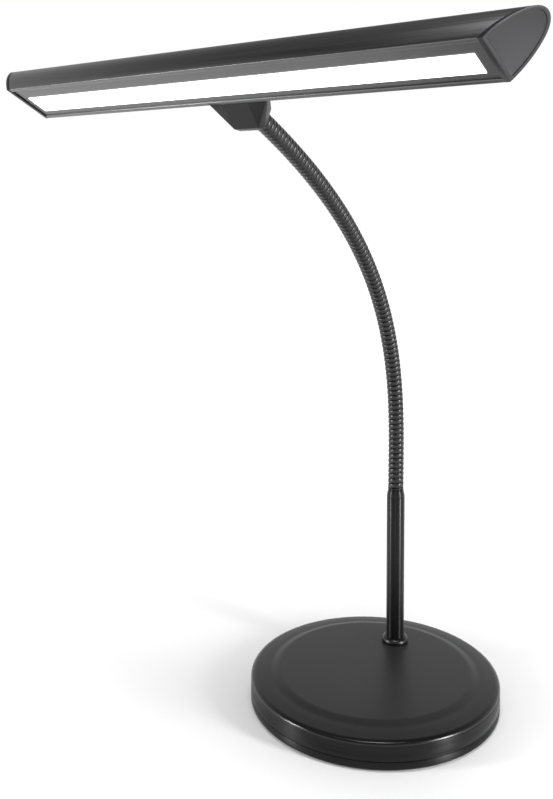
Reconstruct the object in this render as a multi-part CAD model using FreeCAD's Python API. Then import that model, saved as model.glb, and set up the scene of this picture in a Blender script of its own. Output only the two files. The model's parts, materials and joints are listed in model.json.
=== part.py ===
import FreeCAD, Part

# A desk lamp for a piano: a weighted round base, a short pole near its back edge,
# a ribbed gooseneck and a long D-shaped bar shade with a strip of light in its flat side.
# Millimetres. Origin: centre of the base, on the table. +Z up, the light faces -Y,
# and X runs along the shade.

import math
import os

from FreeCAD import Placement, Rotation, Vector

# Fits between pieces
FIT = 0.05
SLIDE_FIT = 0.1
LOOSE_FIT = 0.15

# Base
BASE_RADIUS = 90.0
PAD_THICKNESS = 1.0
PAD_RADIUS = 84.0
PLATE_FLOOR = 2.5
PLATE_RIM_HEIGHT = 5.5
PLATE_EDGE = 0.9
SPIGOT_HEIGHT = 2.0
SPIGOT_WALL = 1.6
SEAM_GAP = 0.4
COVER_WALL = 1.6
SIDE_HEIGHT = 16.2
EDGE_WIDTH = 3.5
EDGE_RISE = 2.5
SHOULDER_WIDTH = 4.5
SHOULDER_RISE = 1.2
RING_WIDTH = 5.0
RING_RISE = 0.3
STEP_WIDTH = 8.5
STEP_RISE = 1.8
WEIGHT_THICKNESS = 9.0
WEIGHT_GAP = 0.65
WEIGHT_BOSS_RADIUS = 12.5
PLATE_SCREW_CIRCLE = 56.0
PLATE_SCREW_COUNT = 3
PLATE_SCREW_RADIUS = 2.0
PLATE_SCREW_LENGTH = 9.0
PLATE_SCREW_HEAD_RADIUS = 4.0
PLATE_SCREW_HEAD_HEIGHT = 1.4

# The base's own front-to-back line is turned by this much from the neck's plane
BASE_TURN = 9.2

# Pole
POLE_OFFSET = 44.3
POLE_RADIUS = 6.8
POLE_BORE_RADIUS = 5.0
POLE_LENGTH = 113.0
COLLAR_RADIUS = 10.1
COLLAR_TOP_WALL = 0.7
COLLAR_HEIGHT = 4.4
NIPPLE_BORE_RADIUS = 3.2
NIPPLE_RISE = 20.0
NUT_ACROSS_FLATS = 14.0
NUT_HEIGHT = 3.0
WASHER_RADIUS = 9.0
WASHER_THICKNESS = 1.0
NUT_POCKET_DEPTH = 8.5
NUT_POCKET_RADIUS = 10.0

# Socket for the power lead, in the back of the base
INLET_HEIGHT = 11.95
INLET_FLANGE_RADIUS = 4.9
INLET_FLANGE_THICKNESS = 1.3
INLET_SEAT_DEPTH = 0.7
INLET_BARREL_RADIUS = 3.6
INLET_BARREL_LENGTH = 14.5
INLET_BORE_RADIUS = 3.0
INLET_BORE_DEPTH = 10.0
INLET_PIN_RADIUS = 1.0
INLET_PIN_LENGTH = 8.5
INLET_NUT_FLATS = 8.8
INLET_NUT_HEIGHT = 2.2
INLET_POCKET_WIDTH = 15.0
INLET_POCKET_DROP = 6.7
INLET_POCKET_REACH = 29.0
CHANNEL_WIDTH = 5.0
CHANNEL_DEPTH = 4.5

# Ferrule between pole and neck
FERRULE_SPIGOT = 10.0
FERRULE_TAPER = 5.4
FERRULE_NOSE_RADIUS = 5.9
FERRULE_GROOVE_RADIUS = 5.3
FERRULE_GROOVE_WIDTH = 0.5
FERRULE_RING_WIDTH = 1.8

# Gooseneck: straight ribbed lengths along one smooth bend
NECK_LENGTH_COUNT = 10
NECK_RIBS = 9
NECK_SIDES = 12
NECK_CREST_RADIUS = 5.35
NECK_VALLEY_RADIUS = 4.45
NECK_BORE_RADIUS = 3.1
NECK_END_GAP = 0.85
NECK_RISE_PULL = 70.0
NECK_HEAD_PULL = 209.0
LEAD_RADIUS = 1.3
LEAD_SIDES = 12

# Shade
HEAD_REACH = 211.3
HEAD_HEIGHT = 406.7
HEAD_TILT = 27.0
OPENING_LENGTH = 340.3
OPENING_HALF_WIDTH = 18.4
CROWN_HEIGHT = 25.0
CROWN_TOP_RADIUS = 14.8
END_SPREAD = 20.6
SHADE_WALL = 1.4
LIP_WIDTH = 3.0
LIP_THICKNESS = 0.8
END_THICKNESS = 2.2
END_RIM = 2.0
END_RECESS = 0.6
END_PLUG_WALL = 1.5
END_PLUG_DEPTH = 3.0
END_PLUG_START = 3.2
REFLECTOR_THICKNESS = 1.0
WINDOW_MARGIN = 8.7
WINDOW_WIDTH = 16.1
FRONT_BAND = 12.2
DIFFUSER_PROUD = 0.5
DIFFUSER_FLANGE = 1.5
DIFFUSER_FLANGE_THICKNESS = 1.2
CARRIER_HEIGHT = 9.4
CARRIER_WALL = 1.2
CARRIER_OVERHANG = 0.15
LED_BOARD_MARGIN = 3.1
LED_BOARD_WIDTH = 14.0
LED_BOARD_THICKNESS = 1.2
LED_COUNT = 36
LED_LENGTH = 3.5
LED_WIDTH = 2.8
LED_HEIGHT = 0.8
DRIVER_START = 40.0
DRIVER_LENGTH = 60.0
DRIVER_WIDTH = 18.0
DRIVER_THICKNESS = 1.4
DRIVER_POST_HEIGHT = 1.8
DRIVER_POST_RADIUS = 1.6
DRIVER_POST_END_MARGIN = 5.0
DRIVER_POST_SIDE_MARGIN = 3.0
COIL_RADIUS = 4.6
COIL_HEIGHT = 4.0
CAPACITOR_RADIUS = 2.6
CAPACITOR_LENGTH = 9.0
CHIP_LENGTH = 6.0
CHIP_WIDTH = 5.0
CHIP_HEIGHT = 1.6

# Leads in the shade, measured from the window's middle line
LEAD_ENTRY = 8.6
LEAD_ENTRY_RISE = 2.1
LEAD_TURN = 5.5
LEAD_TURN_OFFSET = 12.0
LEAD_TURN_RISE = 0.4
LEAD_LANDING = 4.2
LEAD_LANDING_RUN = 6.0
SWITCH_LEAD_DROP = 1.8

# Bracket under the shade's back edge
BRACKET_DEPTH = 21.6
BRACKET_HALF_WIDTH = 9.3
BRACKET_FLARE_HALF_WIDTH = 21.3
BRACKET_CORNER_DEPTH = 16.1
BRACKET_CORNER_DROP = 7.5
BRACKET_HEEL_DROP = 5.5
BRACKET_TOP = 13.0
BRACKET_TOP_ROUND = 4.0
BRACKET_ROOT = 6.0
BRACKET_LIP_STEP = 0.2
CHEEK_LOW = 1.0
CHEEK_EDGE = 0.8
CHEEK_DEPTH = 2.2
CHEEK_SIDE_HEIGHT = 6.2
CHEEK_TOP = 8.0
NECK_AXIS_HEIGHT = 4.7
STUD_RADIUS = 4.0
STUD_DEPTH = 16.0
STUD_FLANGE_THICKNESS = 1.0
PASSAGE_RADIUS = 1.9
BRACKET_SCREW_RADIUS = 1.5
BRACKET_SCREW_HEAD_RADIUS = 2.6
BRACKET_SCREW_HEAD_HEIGHT = 1.5
BRACKET_SCREW_LENGTH = 9.0
BRACKET_SCREW_SPREAD = 7.0
BRACKET_SCREW_HEIGHT = 8.5

# Push switch on the back of the crown
SWITCH_ANGLE = 28.0
SWITCH_BUSH_RADIUS = 4.2
SWITCH_BODY_RADIUS = 5.6
SWITCH_BODY_DEPTH = 8.0
SWITCH_BEZEL_RADIUS = 6.0
SWITCH_BEZEL_HEIGHT = 1.3
SWITCH_WELL_DEPTH = 6.0
BUTTON_RADIUS = 3.3
BUTTON_LENGTH = 7.0
BUTTON_STANDS_OUT = 2.2
BUTTON_EDGE = 0.7
SWITCH_LEAD_RADIUS = 0.7

# Places that follow from the sizes above
UP = Vector(0, 0, 1)
HERE = Vector(0, 0, 0)
FAR = 4.0 * BASE_RADIUS
PLATE_TOP = PAD_THICKNESS + PLATE_FLOOR
SEAM_LEVEL = PAD_THICKNESS + PLATE_RIM_HEIGHT
COVER_FOOT = SEAM_LEVEL + SEAM_GAP
SIDE_TOP = PAD_THICKNESS + SIDE_HEIGHT
SHOULDER_LEVEL = SIDE_TOP + EDGE_RISE
RING_LEVEL = SHOULDER_LEVEL + SHOULDER_RISE
STEP_LEVEL = RING_LEVEL + RING_RISE
BASE_TOP = STEP_LEVEL + STEP_RISE
WEIGHT_TOP = PLATE_TOP + WEIGHT_THICKNESS
WEIGHT_RADIUS = BASE_RADIUS - COVER_WALL - LOOSE_FIT - SPIGOT_WALL - WEIGHT_GAP
NUT_SEAT = PLATE_TOP + NUT_POCKET_DEPTH
NIPPLE_FOOT = NUT_SEAT - WASHER_THICKNESS - NUT_HEIGHT
NIPPLE_RADIUS = POLE_BORE_RADIUS - FIT
BACK_ANGLE = 90.0 + BASE_TURN
POLE_X = POLE_OFFSET * math.cos(math.radians(BACK_ANGLE))
POLE_Y = POLE_OFFSET * math.sin(math.radians(BACK_ANGLE))
POLE_TOP = BASE_TOP + POLE_LENGTH
FERRULE_TOP = POLE_TOP + FERRULE_TAPER + FERRULE_GROOVE_WIDTH + FERRULE_RING_WIDTH
NECK_FOOT = FERRULE_TOP + NECK_END_GAP
TILT = math.radians(HEAD_TILT)
HEAD_CENTRE = Vector(POLE_X, POLE_Y - HEAD_REACH, BASE_TOP + HEAD_HEIGHT)
HEAD_PLACE = Placement(HEAD_CENTRE, Rotation(Vector(1, 0, 0), -HEAD_TILT))
END_SLOPE = END_SPREAD / CROWN_HEIGHT
CROWN_SPARE = OPENING_HALF_WIDTH - CROWN_TOP_RADIUS
CROWN_RISE = CROWN_HEIGHT - CROWN_TOP_RADIUS
CROWN_SIDE_RADIUS = (OPENING_HALF_WIDTH ** 2 + CROWN_RISE ** 2 - CROWN_TOP_RADIUS ** 2) / (2 * CROWN_SPARE)
CROWN_SIDE_CENTRE = OPENING_HALF_WIDTH - CROWN_SIDE_RADIUS
INNER_HALF_WIDTH = OPENING_HALF_WIDTH - SHADE_WALL
REFLECTOR_TOP = LIP_THICKNESS + REFLECTOR_THICKNESS
WINDOW_LENGTH = OPENING_LENGTH - 2 * WINDOW_MARGIN
WINDOW_CENTRE = FRONT_BAND + WINDOW_WIDTH / 2 - OPENING_HALF_WIDTH
CARRIER_LENGTH = WINDOW_LENGTH + 2 * (DIFFUSER_FLANGE + CARRIER_OVERHANG)
LED_BOARD_LENGTH = CARRIER_LENGTH - 2 * LED_BOARD_MARGIN
CARRIER_TOP = REFLECTOR_TOP + CARRIER_HEIGHT
WEB_UNDERSIDE = CARRIER_TOP - CARRIER_WALL
BRACKET_REACH = OPENING_HALF_WIDTH + BRACKET_DEPTH
BRACKET_CORNER_REACH = OPENING_HALF_WIDTH + BRACKET_CORNER_DEPTH
STUD_END = BRACKET_REACH + STUD_FLANGE_THICKNESS
DRIVER_LEVEL = CARRIER_TOP + DRIVER_POST_HEIGHT


def save(name, shape):
    """Write one piece to its own file."""
    shape.exportStep("parts/" + name + ".step")


def turned(*outline):
    """Solid of revolution about Z from an outline of (radius, height) points."""
    corners = [Vector(radius, 0, height) for radius, height in outline]
    return Part.Face(Part.makePolygon(corners + corners[:1])).revolve(HERE, UP, 360)


def disc(radius, low, high):
    """Upright cylinder between two heights."""
    return Part.makeCylinder(radius, high - low, Vector(0, 0, low))


def tube(outer, inner, low, high):
    """Upright tube between two heights."""
    return disc(outer, low, high).cut(disc(inner, low, high))


def hexagon(across_flats, low, high):
    """Upright hexagonal bar between two heights."""
    corner = across_flats / math.sqrt(3)
    corners = []
    for index in range(7):
        angle = math.radians(60 * index)
        corners.append(Vector(corner * math.cos(angle), corner * math.sin(angle), low))
    return Part.Face(Part.makePolygon(corners)).extrude(Vector(0, 0, high - low))


def block(x_range, y_range, z_range):
    """Box between the given limits."""
    corner = Vector(x_range[0], y_range[0], z_range[0])
    sizes = [span[1] - span[0] for span in (x_range, y_range, z_range)]
    return Part.makeBox(sizes[0], sizes[1], sizes[2], corner)


def at(shape, placement):
    """Copy of a shape, put in its place."""
    copy = shape.copy()
    copy.Placement = placement.multiply(copy.Placement)
    return copy


def on_pole(shape):
    """Put a piece that was made about Z on the pole's axis."""
    return at(shape, Placement(Vector(POLE_X, POLE_Y, 0), Rotation(UP, BACK_ANGLE)))


def to_the_back(shape):
    """Turn a piece that was made along +X to the back of the base."""
    return at(shape, Placement(HERE, Rotation(UP, BACK_ANGLE)))


def along_x(shape, height):
    """Lay a piece that was made along Z on the +X axis, at a height."""
    return at(shape, Placement(Vector(0, 0, height), Rotation(Vector(0, 1, 0), 90)))


def faceted(loops, twisted):
    """Solid with flat facets between closed loops of points.

    Twisted loops are joined by two triangles for each pair of points, others by one quad.
    """
    faces = [Part.Face(Part.makePolygon(loop + loop[:1])) for loop in (loops[0], loops[-1])]
    for low, high in zip(loops, loops[1:]):
        for index in range(len(low)):
            after = (index + 1) % len(low)
            if twisted:
                faces.append(Part.Face(Part.makePolygon([low[index], low[after], high[after], low[index]])))
                faces.append(Part.Face(Part.makePolygon([low[index], high[after], high[index], low[index]])))
            else:
                outline = [low[index], low[after], high[after], high[index], low[index]]
                faces.append(Part.Face(Part.makePolygon(outline)))
    return Part.Solid(Part.Shell(faces))


def ring_points(radius, sides):
    """Corners of a regular outline about Z at height zero."""
    angles = [2 * math.pi * index / sides for index in range(sides)]
    return [Vector(radius * math.cos(angle), radius * math.sin(angle), 0) for angle in angles]


def lead(points, radius):
    """Flat-sided lead of straight runs that meet in mitres."""
    runs = [(after - before).normalize() for before, after in zip(points, points[1:])]
    start = Placement(points[0], Rotation(UP, runs[0]))
    loop = [start.multVec(corner) for corner in ring_points(radius, LEAD_SIDES)]
    loops = [loop]
    for index, run in enumerate(runs):
        ahead = runs[min(index + 1, len(runs) - 1)]
        facing = run + ahead
        corner = points[index + 1]
        loop = [point + run * ((corner - point).dot(facing) / run.dot(facing)) for point in loop]
        loops.append(loop)
    return faceted(loops, False)


# Base

def base_cover():
    """Pressed cover with a raised round table, open and stepped below."""
    edge = BASE_RADIUS - EDGE_WIDTH
    shoulder = edge - SHOULDER_WIDTH
    ring = shoulder - RING_WIDTH
    step = ring - STEP_WIDTH
    outer = turned(
        (0, COVER_FOOT),
        (BASE_RADIUS, COVER_FOOT),
        (BASE_RADIUS, SIDE_TOP),
        (BASE_RADIUS - 0.28 * EDGE_WIDTH, SIDE_TOP + 0.62 * EDGE_RISE),
        (edge, SHOULDER_LEVEL),
        (shoulder, RING_LEVEL),
        (ring, STEP_LEVEL),
        (step, BASE_TOP),
        (0, BASE_TOP),
    )
    inner = disc(BASE_RADIUS - COVER_WALL, 0, SIDE_TOP - COVER_WALL / 2)
    inner = inner.fuse(disc(edge - COVER_WALL, 0, SHOULDER_LEVEL - COVER_WALL))
    inner = inner.fuse(disc(ring - COVER_WALL, 0, STEP_LEVEL - COVER_WALL))
    inner = inner.fuse(disc(step - COVER_WALL, 0, BASE_TOP - COVER_WALL))
    seat_start = BASE_RADIUS - INLET_SEAT_DEPTH
    seat = along_x(disc(INLET_FLANGE_RADIUS + FIT, seat_start, FAR), INLET_HEIGHT)
    hole = along_x(disc(INLET_BARREL_RADIUS + FIT, BASE_RADIUS / 2, FAR), INLET_HEIGHT)
    nipple_hole = on_pole(disc(POLE_BORE_RADIUS, 0, FAR))
    return outer.cut(inner).cut(to_the_back(seat.fuse(hole))).cut(nipple_hole)


def plate_screw_places():
    """Placements of the screws under the base."""
    places = []
    for index in range(PLATE_SCREW_COUNT):
        angle = BACK_ANGLE + (index + 0.5) * 360 / PLATE_SCREW_COUNT
        spot = Rotation(UP, angle).multVec(Vector(PLATE_SCREW_CIRCLE, 0, PAD_THICKNESS))
        places.append(Placement(spot, Rotation()))
    return places


def plate_screw(gap):
    """Flat-headed screw, head down, made larger all round by a gap."""
    head = PLATE_SCREW_HEAD_RADIUS + gap
    shank = PLATE_SCREW_RADIUS + gap
    end = PLATE_SCREW_LENGTH + gap
    return disc(head, 0, PLATE_SCREW_HEAD_HEIGHT + gap).fuse(disc(shank, 0, end))


def screw_holes():
    """Holes for all the screws under the base, as one cutter."""
    return Part.makeCompound([at(plate_screw(FIT), place) for place in plate_screw_places()])


def base_plate():
    """Bottom plate: a floor, a rim that shows below the seam, and a spigot."""
    spigot = BASE_RADIUS - COVER_WALL - LOOSE_FIT
    inside = spigot - SPIGOT_WALL
    plate = turned(
        (0, PAD_THICKNESS),
        (BASE_RADIUS - PLATE_EDGE, PAD_THICKNESS),
        (BASE_RADIUS, PAD_THICKNESS + PLATE_EDGE),
        (BASE_RADIUS, SEAM_LEVEL),
        (spigot, SEAM_LEVEL),
        (spigot, SEAM_LEVEL + SPIGOT_HEIGHT),
        (inside, SEAM_LEVEL + SPIGOT_HEIGHT),
        (inside, PLATE_TOP),
        (0, PLATE_TOP),
    )
    notch = block((inside - 1, BASE_RADIUS - COVER_WALL), (-INLET_POCKET_WIDTH / 2, INLET_POCKET_WIDTH / 2),
                  (SEAM_LEVEL, FAR))
    return plate.cut(screw_holes()).cut(to_the_back(notch))


def base_weight():
    """Iron disc with a boss under the pole and room for the nut, socket and lead."""
    body = disc(WEIGHT_RADIUS, PLATE_TOP, WEIGHT_TOP)
    body = body.fuse(on_pole(disc(WEIGHT_BOSS_RADIUS, PLATE_TOP, BASE_TOP - COVER_WALL)))
    nut_room = disc(NUT_POCKET_RADIUS, 0, NUT_SEAT).fuse(disc(POLE_BORE_RADIUS, 0, FAR))
    half = INLET_POCKET_WIDTH / 2
    pocket = block((BASE_RADIUS - INLET_POCKET_REACH, FAR), (-half, half),
                   (INLET_HEIGHT - INLET_POCKET_DROP, FAR))
    half = CHANNEL_WIDTH / 2
    channel = block((POLE_OFFSET, BASE_RADIUS - INLET_POCKET_REACH + CHANNEL_WIDTH), (-half, half),
                    (0, PLATE_TOP + CHANNEL_DEPTH))
    return body.cut(on_pole(nut_room)).cut(to_the_back(pocket.fuse(channel))).cut(screw_holes())


def power_inlet():
    """Round socket: flange, threaded barrel, bore and contact pin."""
    face = BASE_RADIUS - INLET_SEAT_DEPTH
    front = face + INLET_FLANGE_THICKNESS
    floor = front - INLET_BORE_DEPTH
    body = disc(INLET_FLANGE_RADIUS, face, front)
    body = body.fuse(disc(INLET_BARREL_RADIUS, face - INLET_BARREL_LENGTH, face))
    body = body.cut(disc(INLET_BORE_RADIUS, floor, front))
    body = body.fuse(disc(INLET_PIN_RADIUS, floor, floor + INLET_PIN_LENGTH))
    return to_the_back(along_x(body, INLET_HEIGHT))


def inlet_nut():
    """Thin nut that clamps the socket from inside the cover, a flat side up."""
    inside = BASE_RADIUS - COVER_WALL
    half = INLET_NUT_FLATS / math.sqrt(3)
    outer = math.sqrt(inside ** 2 - half ** 2) - LOOSE_FIT
    nut = hexagon(INLET_NUT_FLATS, outer - INLET_NUT_HEIGHT, outer)
    nut.rotate(HERE, UP, 30)
    nut = nut.cut(disc(INLET_BARREL_RADIUS, 0, FAR))
    return to_the_back(along_x(nut, INLET_HEIGHT))


def base_lead():
    """Lead from the socket, through the weight and up the pole to the neck."""
    start = BASE_RADIUS - INLET_SEAT_DEPTH - INLET_BARREL_LENGTH
    low = PLATE_TOP + LEAD_RADIUS + 0.5
    pocket_end = BASE_RADIUS - INLET_POCKET_REACH + LEAD_RADIUS + 0.5
    points = [
        Vector(start, 0, INLET_HEIGHT),
        Vector((start + pocket_end) / 2 + 1, 0, INLET_HEIGHT),
        Vector(pocket_end, 0, low),
        Vector(POLE_OFFSET, 0, low),
        Vector(POLE_OFFSET, 0, FERRULE_TOP),
    ]
    return to_the_back(lead(points, LEAD_RADIUS))


# Pole

def pole_collar():
    """Flared collar round the foot of the pole."""
    bore = POLE_RADIUS + FIT
    return turned(
        (bore, BASE_TOP),
        (COLLAR_RADIUS, BASE_TOP),
        (COLLAR_RADIUS, BASE_TOP + 0.4 * COLLAR_HEIGHT),
        (bore + COLLAR_TOP_WALL, BASE_TOP + COLLAR_HEIGHT),
        (bore, BASE_TOP + COLLAR_HEIGHT),
    )


def neck_ferrule():
    """Tapered nose at the pole's top with a ring and a spigot in the pole."""
    spigot = POLE_BORE_RADIUS - FIT
    taper_top = POLE_TOP + FERRULE_TAPER
    groove_top = taper_top + FERRULE_GROOVE_WIDTH
    return turned(
        (NIPPLE_BORE_RADIUS, POLE_TOP - FERRULE_SPIGOT),
        (spigot, POLE_TOP - FERRULE_SPIGOT),
        (spigot, POLE_TOP),
        (POLE_RADIUS, POLE_TOP),
        (FERRULE_NOSE_RADIUS, taper_top),
        (FERRULE_GROOVE_RADIUS, taper_top),
        (FERRULE_GROOVE_RADIUS, groove_top),
        (FERRULE_NOSE_RADIUS, groove_top),
        (FERRULE_NOSE_RADIUS, FERRULE_TOP),
        (NIPPLE_BORE_RADIUS, FERRULE_TOP),
    )


# Gooseneck

def neck_points():
    """Points where the neck's lengths meet, equally spaced along its bend."""
    foot = Vector(POLE_X, POLE_Y, NECK_FOOT)
    end = HEAD_PLACE.multVec(Vector(0, STUD_END + NECK_END_GAP, NECK_AXIS_HEIGHT))
    into_head = HEAD_PLACE.Rotation.multVec(Vector(0, -1, 0))
    bend = Part.BezierCurve()
    bend.setPoles([foot, foot + UP * NECK_RISE_PULL, end - into_head * NECK_HEAD_PULL, end])
    return bend.discretize(Number=NECK_LENGTH_COUNT + 1)


def ribbed_length(length):
    """Hollow ribbed tube along Z, wide at each crest and narrow at each valley."""
    pitch = length / NECK_RIBS
    valley = ring_points(NECK_VALLEY_RADIUS, NECK_SIDES)
    crest = ring_points(NECK_CREST_RADIUS, NECK_SIDES)
    loops = [[corner + UP * NECK_END_GAP for corner in valley]]
    for index in range(NECK_RIBS):
        end = min((index + 1) * pitch, length - NECK_END_GAP)
        loops.append([corner + UP * (index + 0.5) * pitch for corner in crest])
        loops.append([corner + UP * end for corner in valley])
    return faceted(loops, False).cut(disc(NECK_BORE_RADIUS, 0, length))


def neck_length_and_lead(start, end):
    """One length of the neck and the sleeved lead that fills its bore."""
    along = end - start
    lean = math.degrees(math.atan2(-along.y, along.z))
    place = Placement(start, Rotation(Vector(1, 0, 0), lean))
    hose = at(ribbed_length(along.Length), place)
    core = at(disc(NECK_BORE_RADIUS, NECK_END_GAP, along.Length - NECK_END_GAP), place)
    return hose, core


# Shade

def crown_edges(inset):
    """Three tangent arcs from lip to lip over the crown, moved in by an inset.

    The side arcs stand square on the flat side. The top arc meets them inside.
    """
    join_angle = math.atan2(CROWN_RISE, -CROWN_SIDE_CENTRE)
    reach = CROWN_SIDE_RADIUS - inset

    def on_side(angle, side):
        """Point on one side arc, at an angle from the flat side."""
        return Vector(0, side * (CROWN_SIDE_CENTRE + reach * math.cos(angle)), reach * math.sin(angle))

    top = Vector(0, 0, CROWN_HEIGHT - inset)
    return [
        Part.Arc(on_side(0, -1), on_side(join_angle / 2, -1), on_side(join_angle, -1)).toShape(),
        Part.Arc(on_side(join_angle, -1), top, on_side(join_angle, 1)).toShape(),
        Part.Arc(on_side(join_angle, 1), on_side(join_angle / 2, 1), on_side(0, 1)).toShape(),
    ]


def d_bar(inset):
    """Long solid bar of D section along X, flat side down, moved in by an inset."""
    half_width = OPENING_HALF_WIDTH - inset
    chord = Part.LineSegment(Vector(0, half_width, 0), Vector(0, -half_width, 0)).toShape()
    face = Part.Face(Part.Wire(crown_edges(inset) + [chord]))
    face.translate(Vector(-OPENING_LENGTH, 0, 0))
    return face.extrude(Vector(2 * OPENING_LENGTH, 0, 0))


def between_ends(inset, low=-CROWN_HEIGHT):
    """Solid between the shade's slanted end planes, each moved in by an inset."""
    high = 2 * CROWN_HEIGHT
    shift = inset * math.sqrt(1 + END_SLOPE ** 2)
    bottom = OPENING_LENGTH / 2 - shift + END_SLOPE * low
    top = OPENING_LENGTH / 2 - shift + END_SLOPE * high
    back = -2 * OPENING_HALF_WIDTH
    corners = [
        Vector(-bottom, back, low),
        Vector(bottom, back, low),
        Vector(top, back, high),
        Vector(-top, back, high),
        Vector(-bottom, back, low),
    ]
    return Part.Face(Part.makePolygon(corners)).extrude(Vector(0, -2 * back, 0))


def switch_place():
    """Placement on the crown at the switch: Z points out of the crown."""
    angle = math.radians(SWITCH_ANGLE)
    outward = Vector(0, math.sin(angle), math.cos(angle))
    spot = Vector(0, 0, CROWN_HEIGHT - CROWN_TOP_RADIUS) + outward * CROWN_TOP_RADIUS
    return Placement(spot, Rotation(UP, outward))


def screw_seat():
    """Distance from the shade's middle to the bracket screws' seat on the inner wall."""
    height = BRACKET_SCREW_HEIGHT + BRACKET_SCREW_HEAD_RADIUS
    return CROWN_SIDE_CENTRE + math.sqrt((CROWN_SIDE_RADIUS - SHADE_WALL) ** 2 - height ** 2)


def along_y(shape, x, y, z):
    """Lay a piece that was made along Z on a line along +Y."""
    return at(shape, Placement(Vector(x, y, z), Rotation(Vector(1, 0, 0), -90)))


def bracket_screw(gap):
    """Pan-head screw with its head's underside at the origin, shank along +Z."""
    shank = BRACKET_SCREW_RADIUS + gap
    head = BRACKET_SCREW_HEAD_RADIUS
    low = -BRACKET_SCREW_HEAD_HEIGHT
    return turned((0, low), (0.7 * head, low), (head, 0.6 * low), (head, 0), (shank, 0),
                  (shank, BRACKET_SCREW_LENGTH + gap), (0, BRACKET_SCREW_LENGTH + gap))


def bracket_screws(gap):
    """Both screws that hold the bracket to the shade."""
    seat = screw_seat()
    pair = []
    for side in (-1, 1):
        pair.append(along_y(bracket_screw(gap), side * BRACKET_SCREW_SPREAD, seat, BRACKET_SCREW_HEIGHT))
    return Part.makeCompound(pair)


def head_lead_points():
    """Route of the lead from the neck's stud to the driver board."""
    landing = Vector(DRIVER_START, WINDOW_CENTRE + LEAD_LANDING, DRIVER_LEVEL + DRIVER_THICKNESS / 2)
    return [
        Vector(0, STUD_END, NECK_AXIS_HEIGHT),
        Vector(0, BRACKET_REACH - STUD_DEPTH, NECK_AXIS_HEIGHT),
        Vector(0, WINDOW_CENTRE + LEAD_ENTRY, CARRIER_TOP + LEAD_RADIUS + LEAD_ENTRY_RISE),
        Vector(LEAD_TURN_OFFSET, WINDOW_CENTRE + LEAD_TURN, DRIVER_LEVEL + LEAD_TURN_RISE),
        landing - Vector(LEAD_LANDING_RUN, 0, 0),
        landing,
    ]


def passage():
    """Sloping hole for the lead, from a round pocket at the stud's hole into the shade."""
    points = head_lead_points()
    way = points[2] - points[1]
    hole = Part.makeCylinder(PASSAGE_RADIUS, way.Length, points[1], way)
    return hole.fuse(Part.makeSphere(PASSAGE_RADIUS, points[1]))


def shade_shell():
    """Extruded D-shaped shell with two in-turned lips, open between them."""
    shell = d_bar(0)
    far = OPENING_LENGTH
    wide = OPENING_HALF_WIDTH
    above_lips = block((-far, far), (-wide, wide), (LIP_THICKNESS, CROWN_HEIGHT))
    shell = shell.cut(d_bar(SHADE_WALL).common(above_lips))
    slot = wide - LIP_WIDTH
    shell = shell.cut(block((-far, far), (-slot, slot), (-1, LIP_THICKNESS)))
    shell = shell.common(between_ends(END_THICKNESS))
    bush_hole = at(disc(SWITCH_BUSH_RADIUS + FIT, -SWITCH_BODY_DEPTH, CROWN_HEIGHT), switch_place())
    return shell.cut(bush_hole).cut(bracket_screws(FIT)).cut(passage())


def shade_end(side):
    """Slanted end plate with a raised rim and a locating plug, on side +1 or -1."""
    plate = d_bar(0).common(between_ends(0)).cut(between_ends(END_THICKNESS))
    wide = OPENING_HALF_WIDTH
    field = d_bar(END_RIM).common(block((-FAR, FAR), (-wide, wide), (END_RIM, CROWN_HEIGHT)))
    plate = plate.cut(field.cut(between_ends(END_RECESS)))
    gap = SHADE_WALL + SLIDE_FIT
    plug = d_bar(gap).cut(d_bar(gap + END_PLUG_WALL))
    plug = plug.common(block((-FAR, FAR), (-wide, wide), (END_PLUG_START, CROWN_HEIGHT)))
    plug = plug.common(between_ends(END_THICKNESS)).cut(between_ends(END_THICKNESS + END_PLUG_DEPTH))
    reach = sorted((0, side * FAR))
    half = block(reach, (-2 * wide, 2 * wide), (-CROWN_HEIGHT, 2 * CROWN_HEIGHT))
    return plate.fuse(plug).common(half)


def reflector_plate():
    """Flat plate behind the lips, with the long window for the light."""
    half = INNER_HALF_WIDTH - LOOSE_FIT
    plate = block((-FAR, FAR), (-half, half), (LIP_THICKNESS, REFLECTOR_TOP))
    plate = plate.common(between_ends(END_THICKNESS + SLIDE_FIT))
    return plate.cut(window_block(WINDOW_LENGTH, WINDOW_WIDTH, -1, CROWN_HEIGHT))


def window_block(length, width, low, high):
    """Block centred on the window."""
    return block((-length / 2, length / 2), (WINDOW_CENTRE - width / 2, WINDOW_CENTRE + width / 2), (low, high))


def led_diffuser():
    """Opal strip: a bar that fills the window and a flange that rests behind it."""
    gap = 2 * SLIDE_FIT
    bar = window_block(WINDOW_LENGTH - gap, WINDOW_WIDTH - gap, LIP_THICKNESS - DIFFUSER_PROUD,
                       REFLECTOR_TOP + DIFFUSER_FLANGE_THICKNESS)
    edge = 2 * DIFFUSER_FLANGE
    flange = window_block(WINDOW_LENGTH + edge, WINDOW_WIDTH + edge, REFLECTOR_TOP,
                          REFLECTOR_TOP + DIFFUSER_FLANGE_THICKNESS)
    return bar.fuse(flange)


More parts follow.
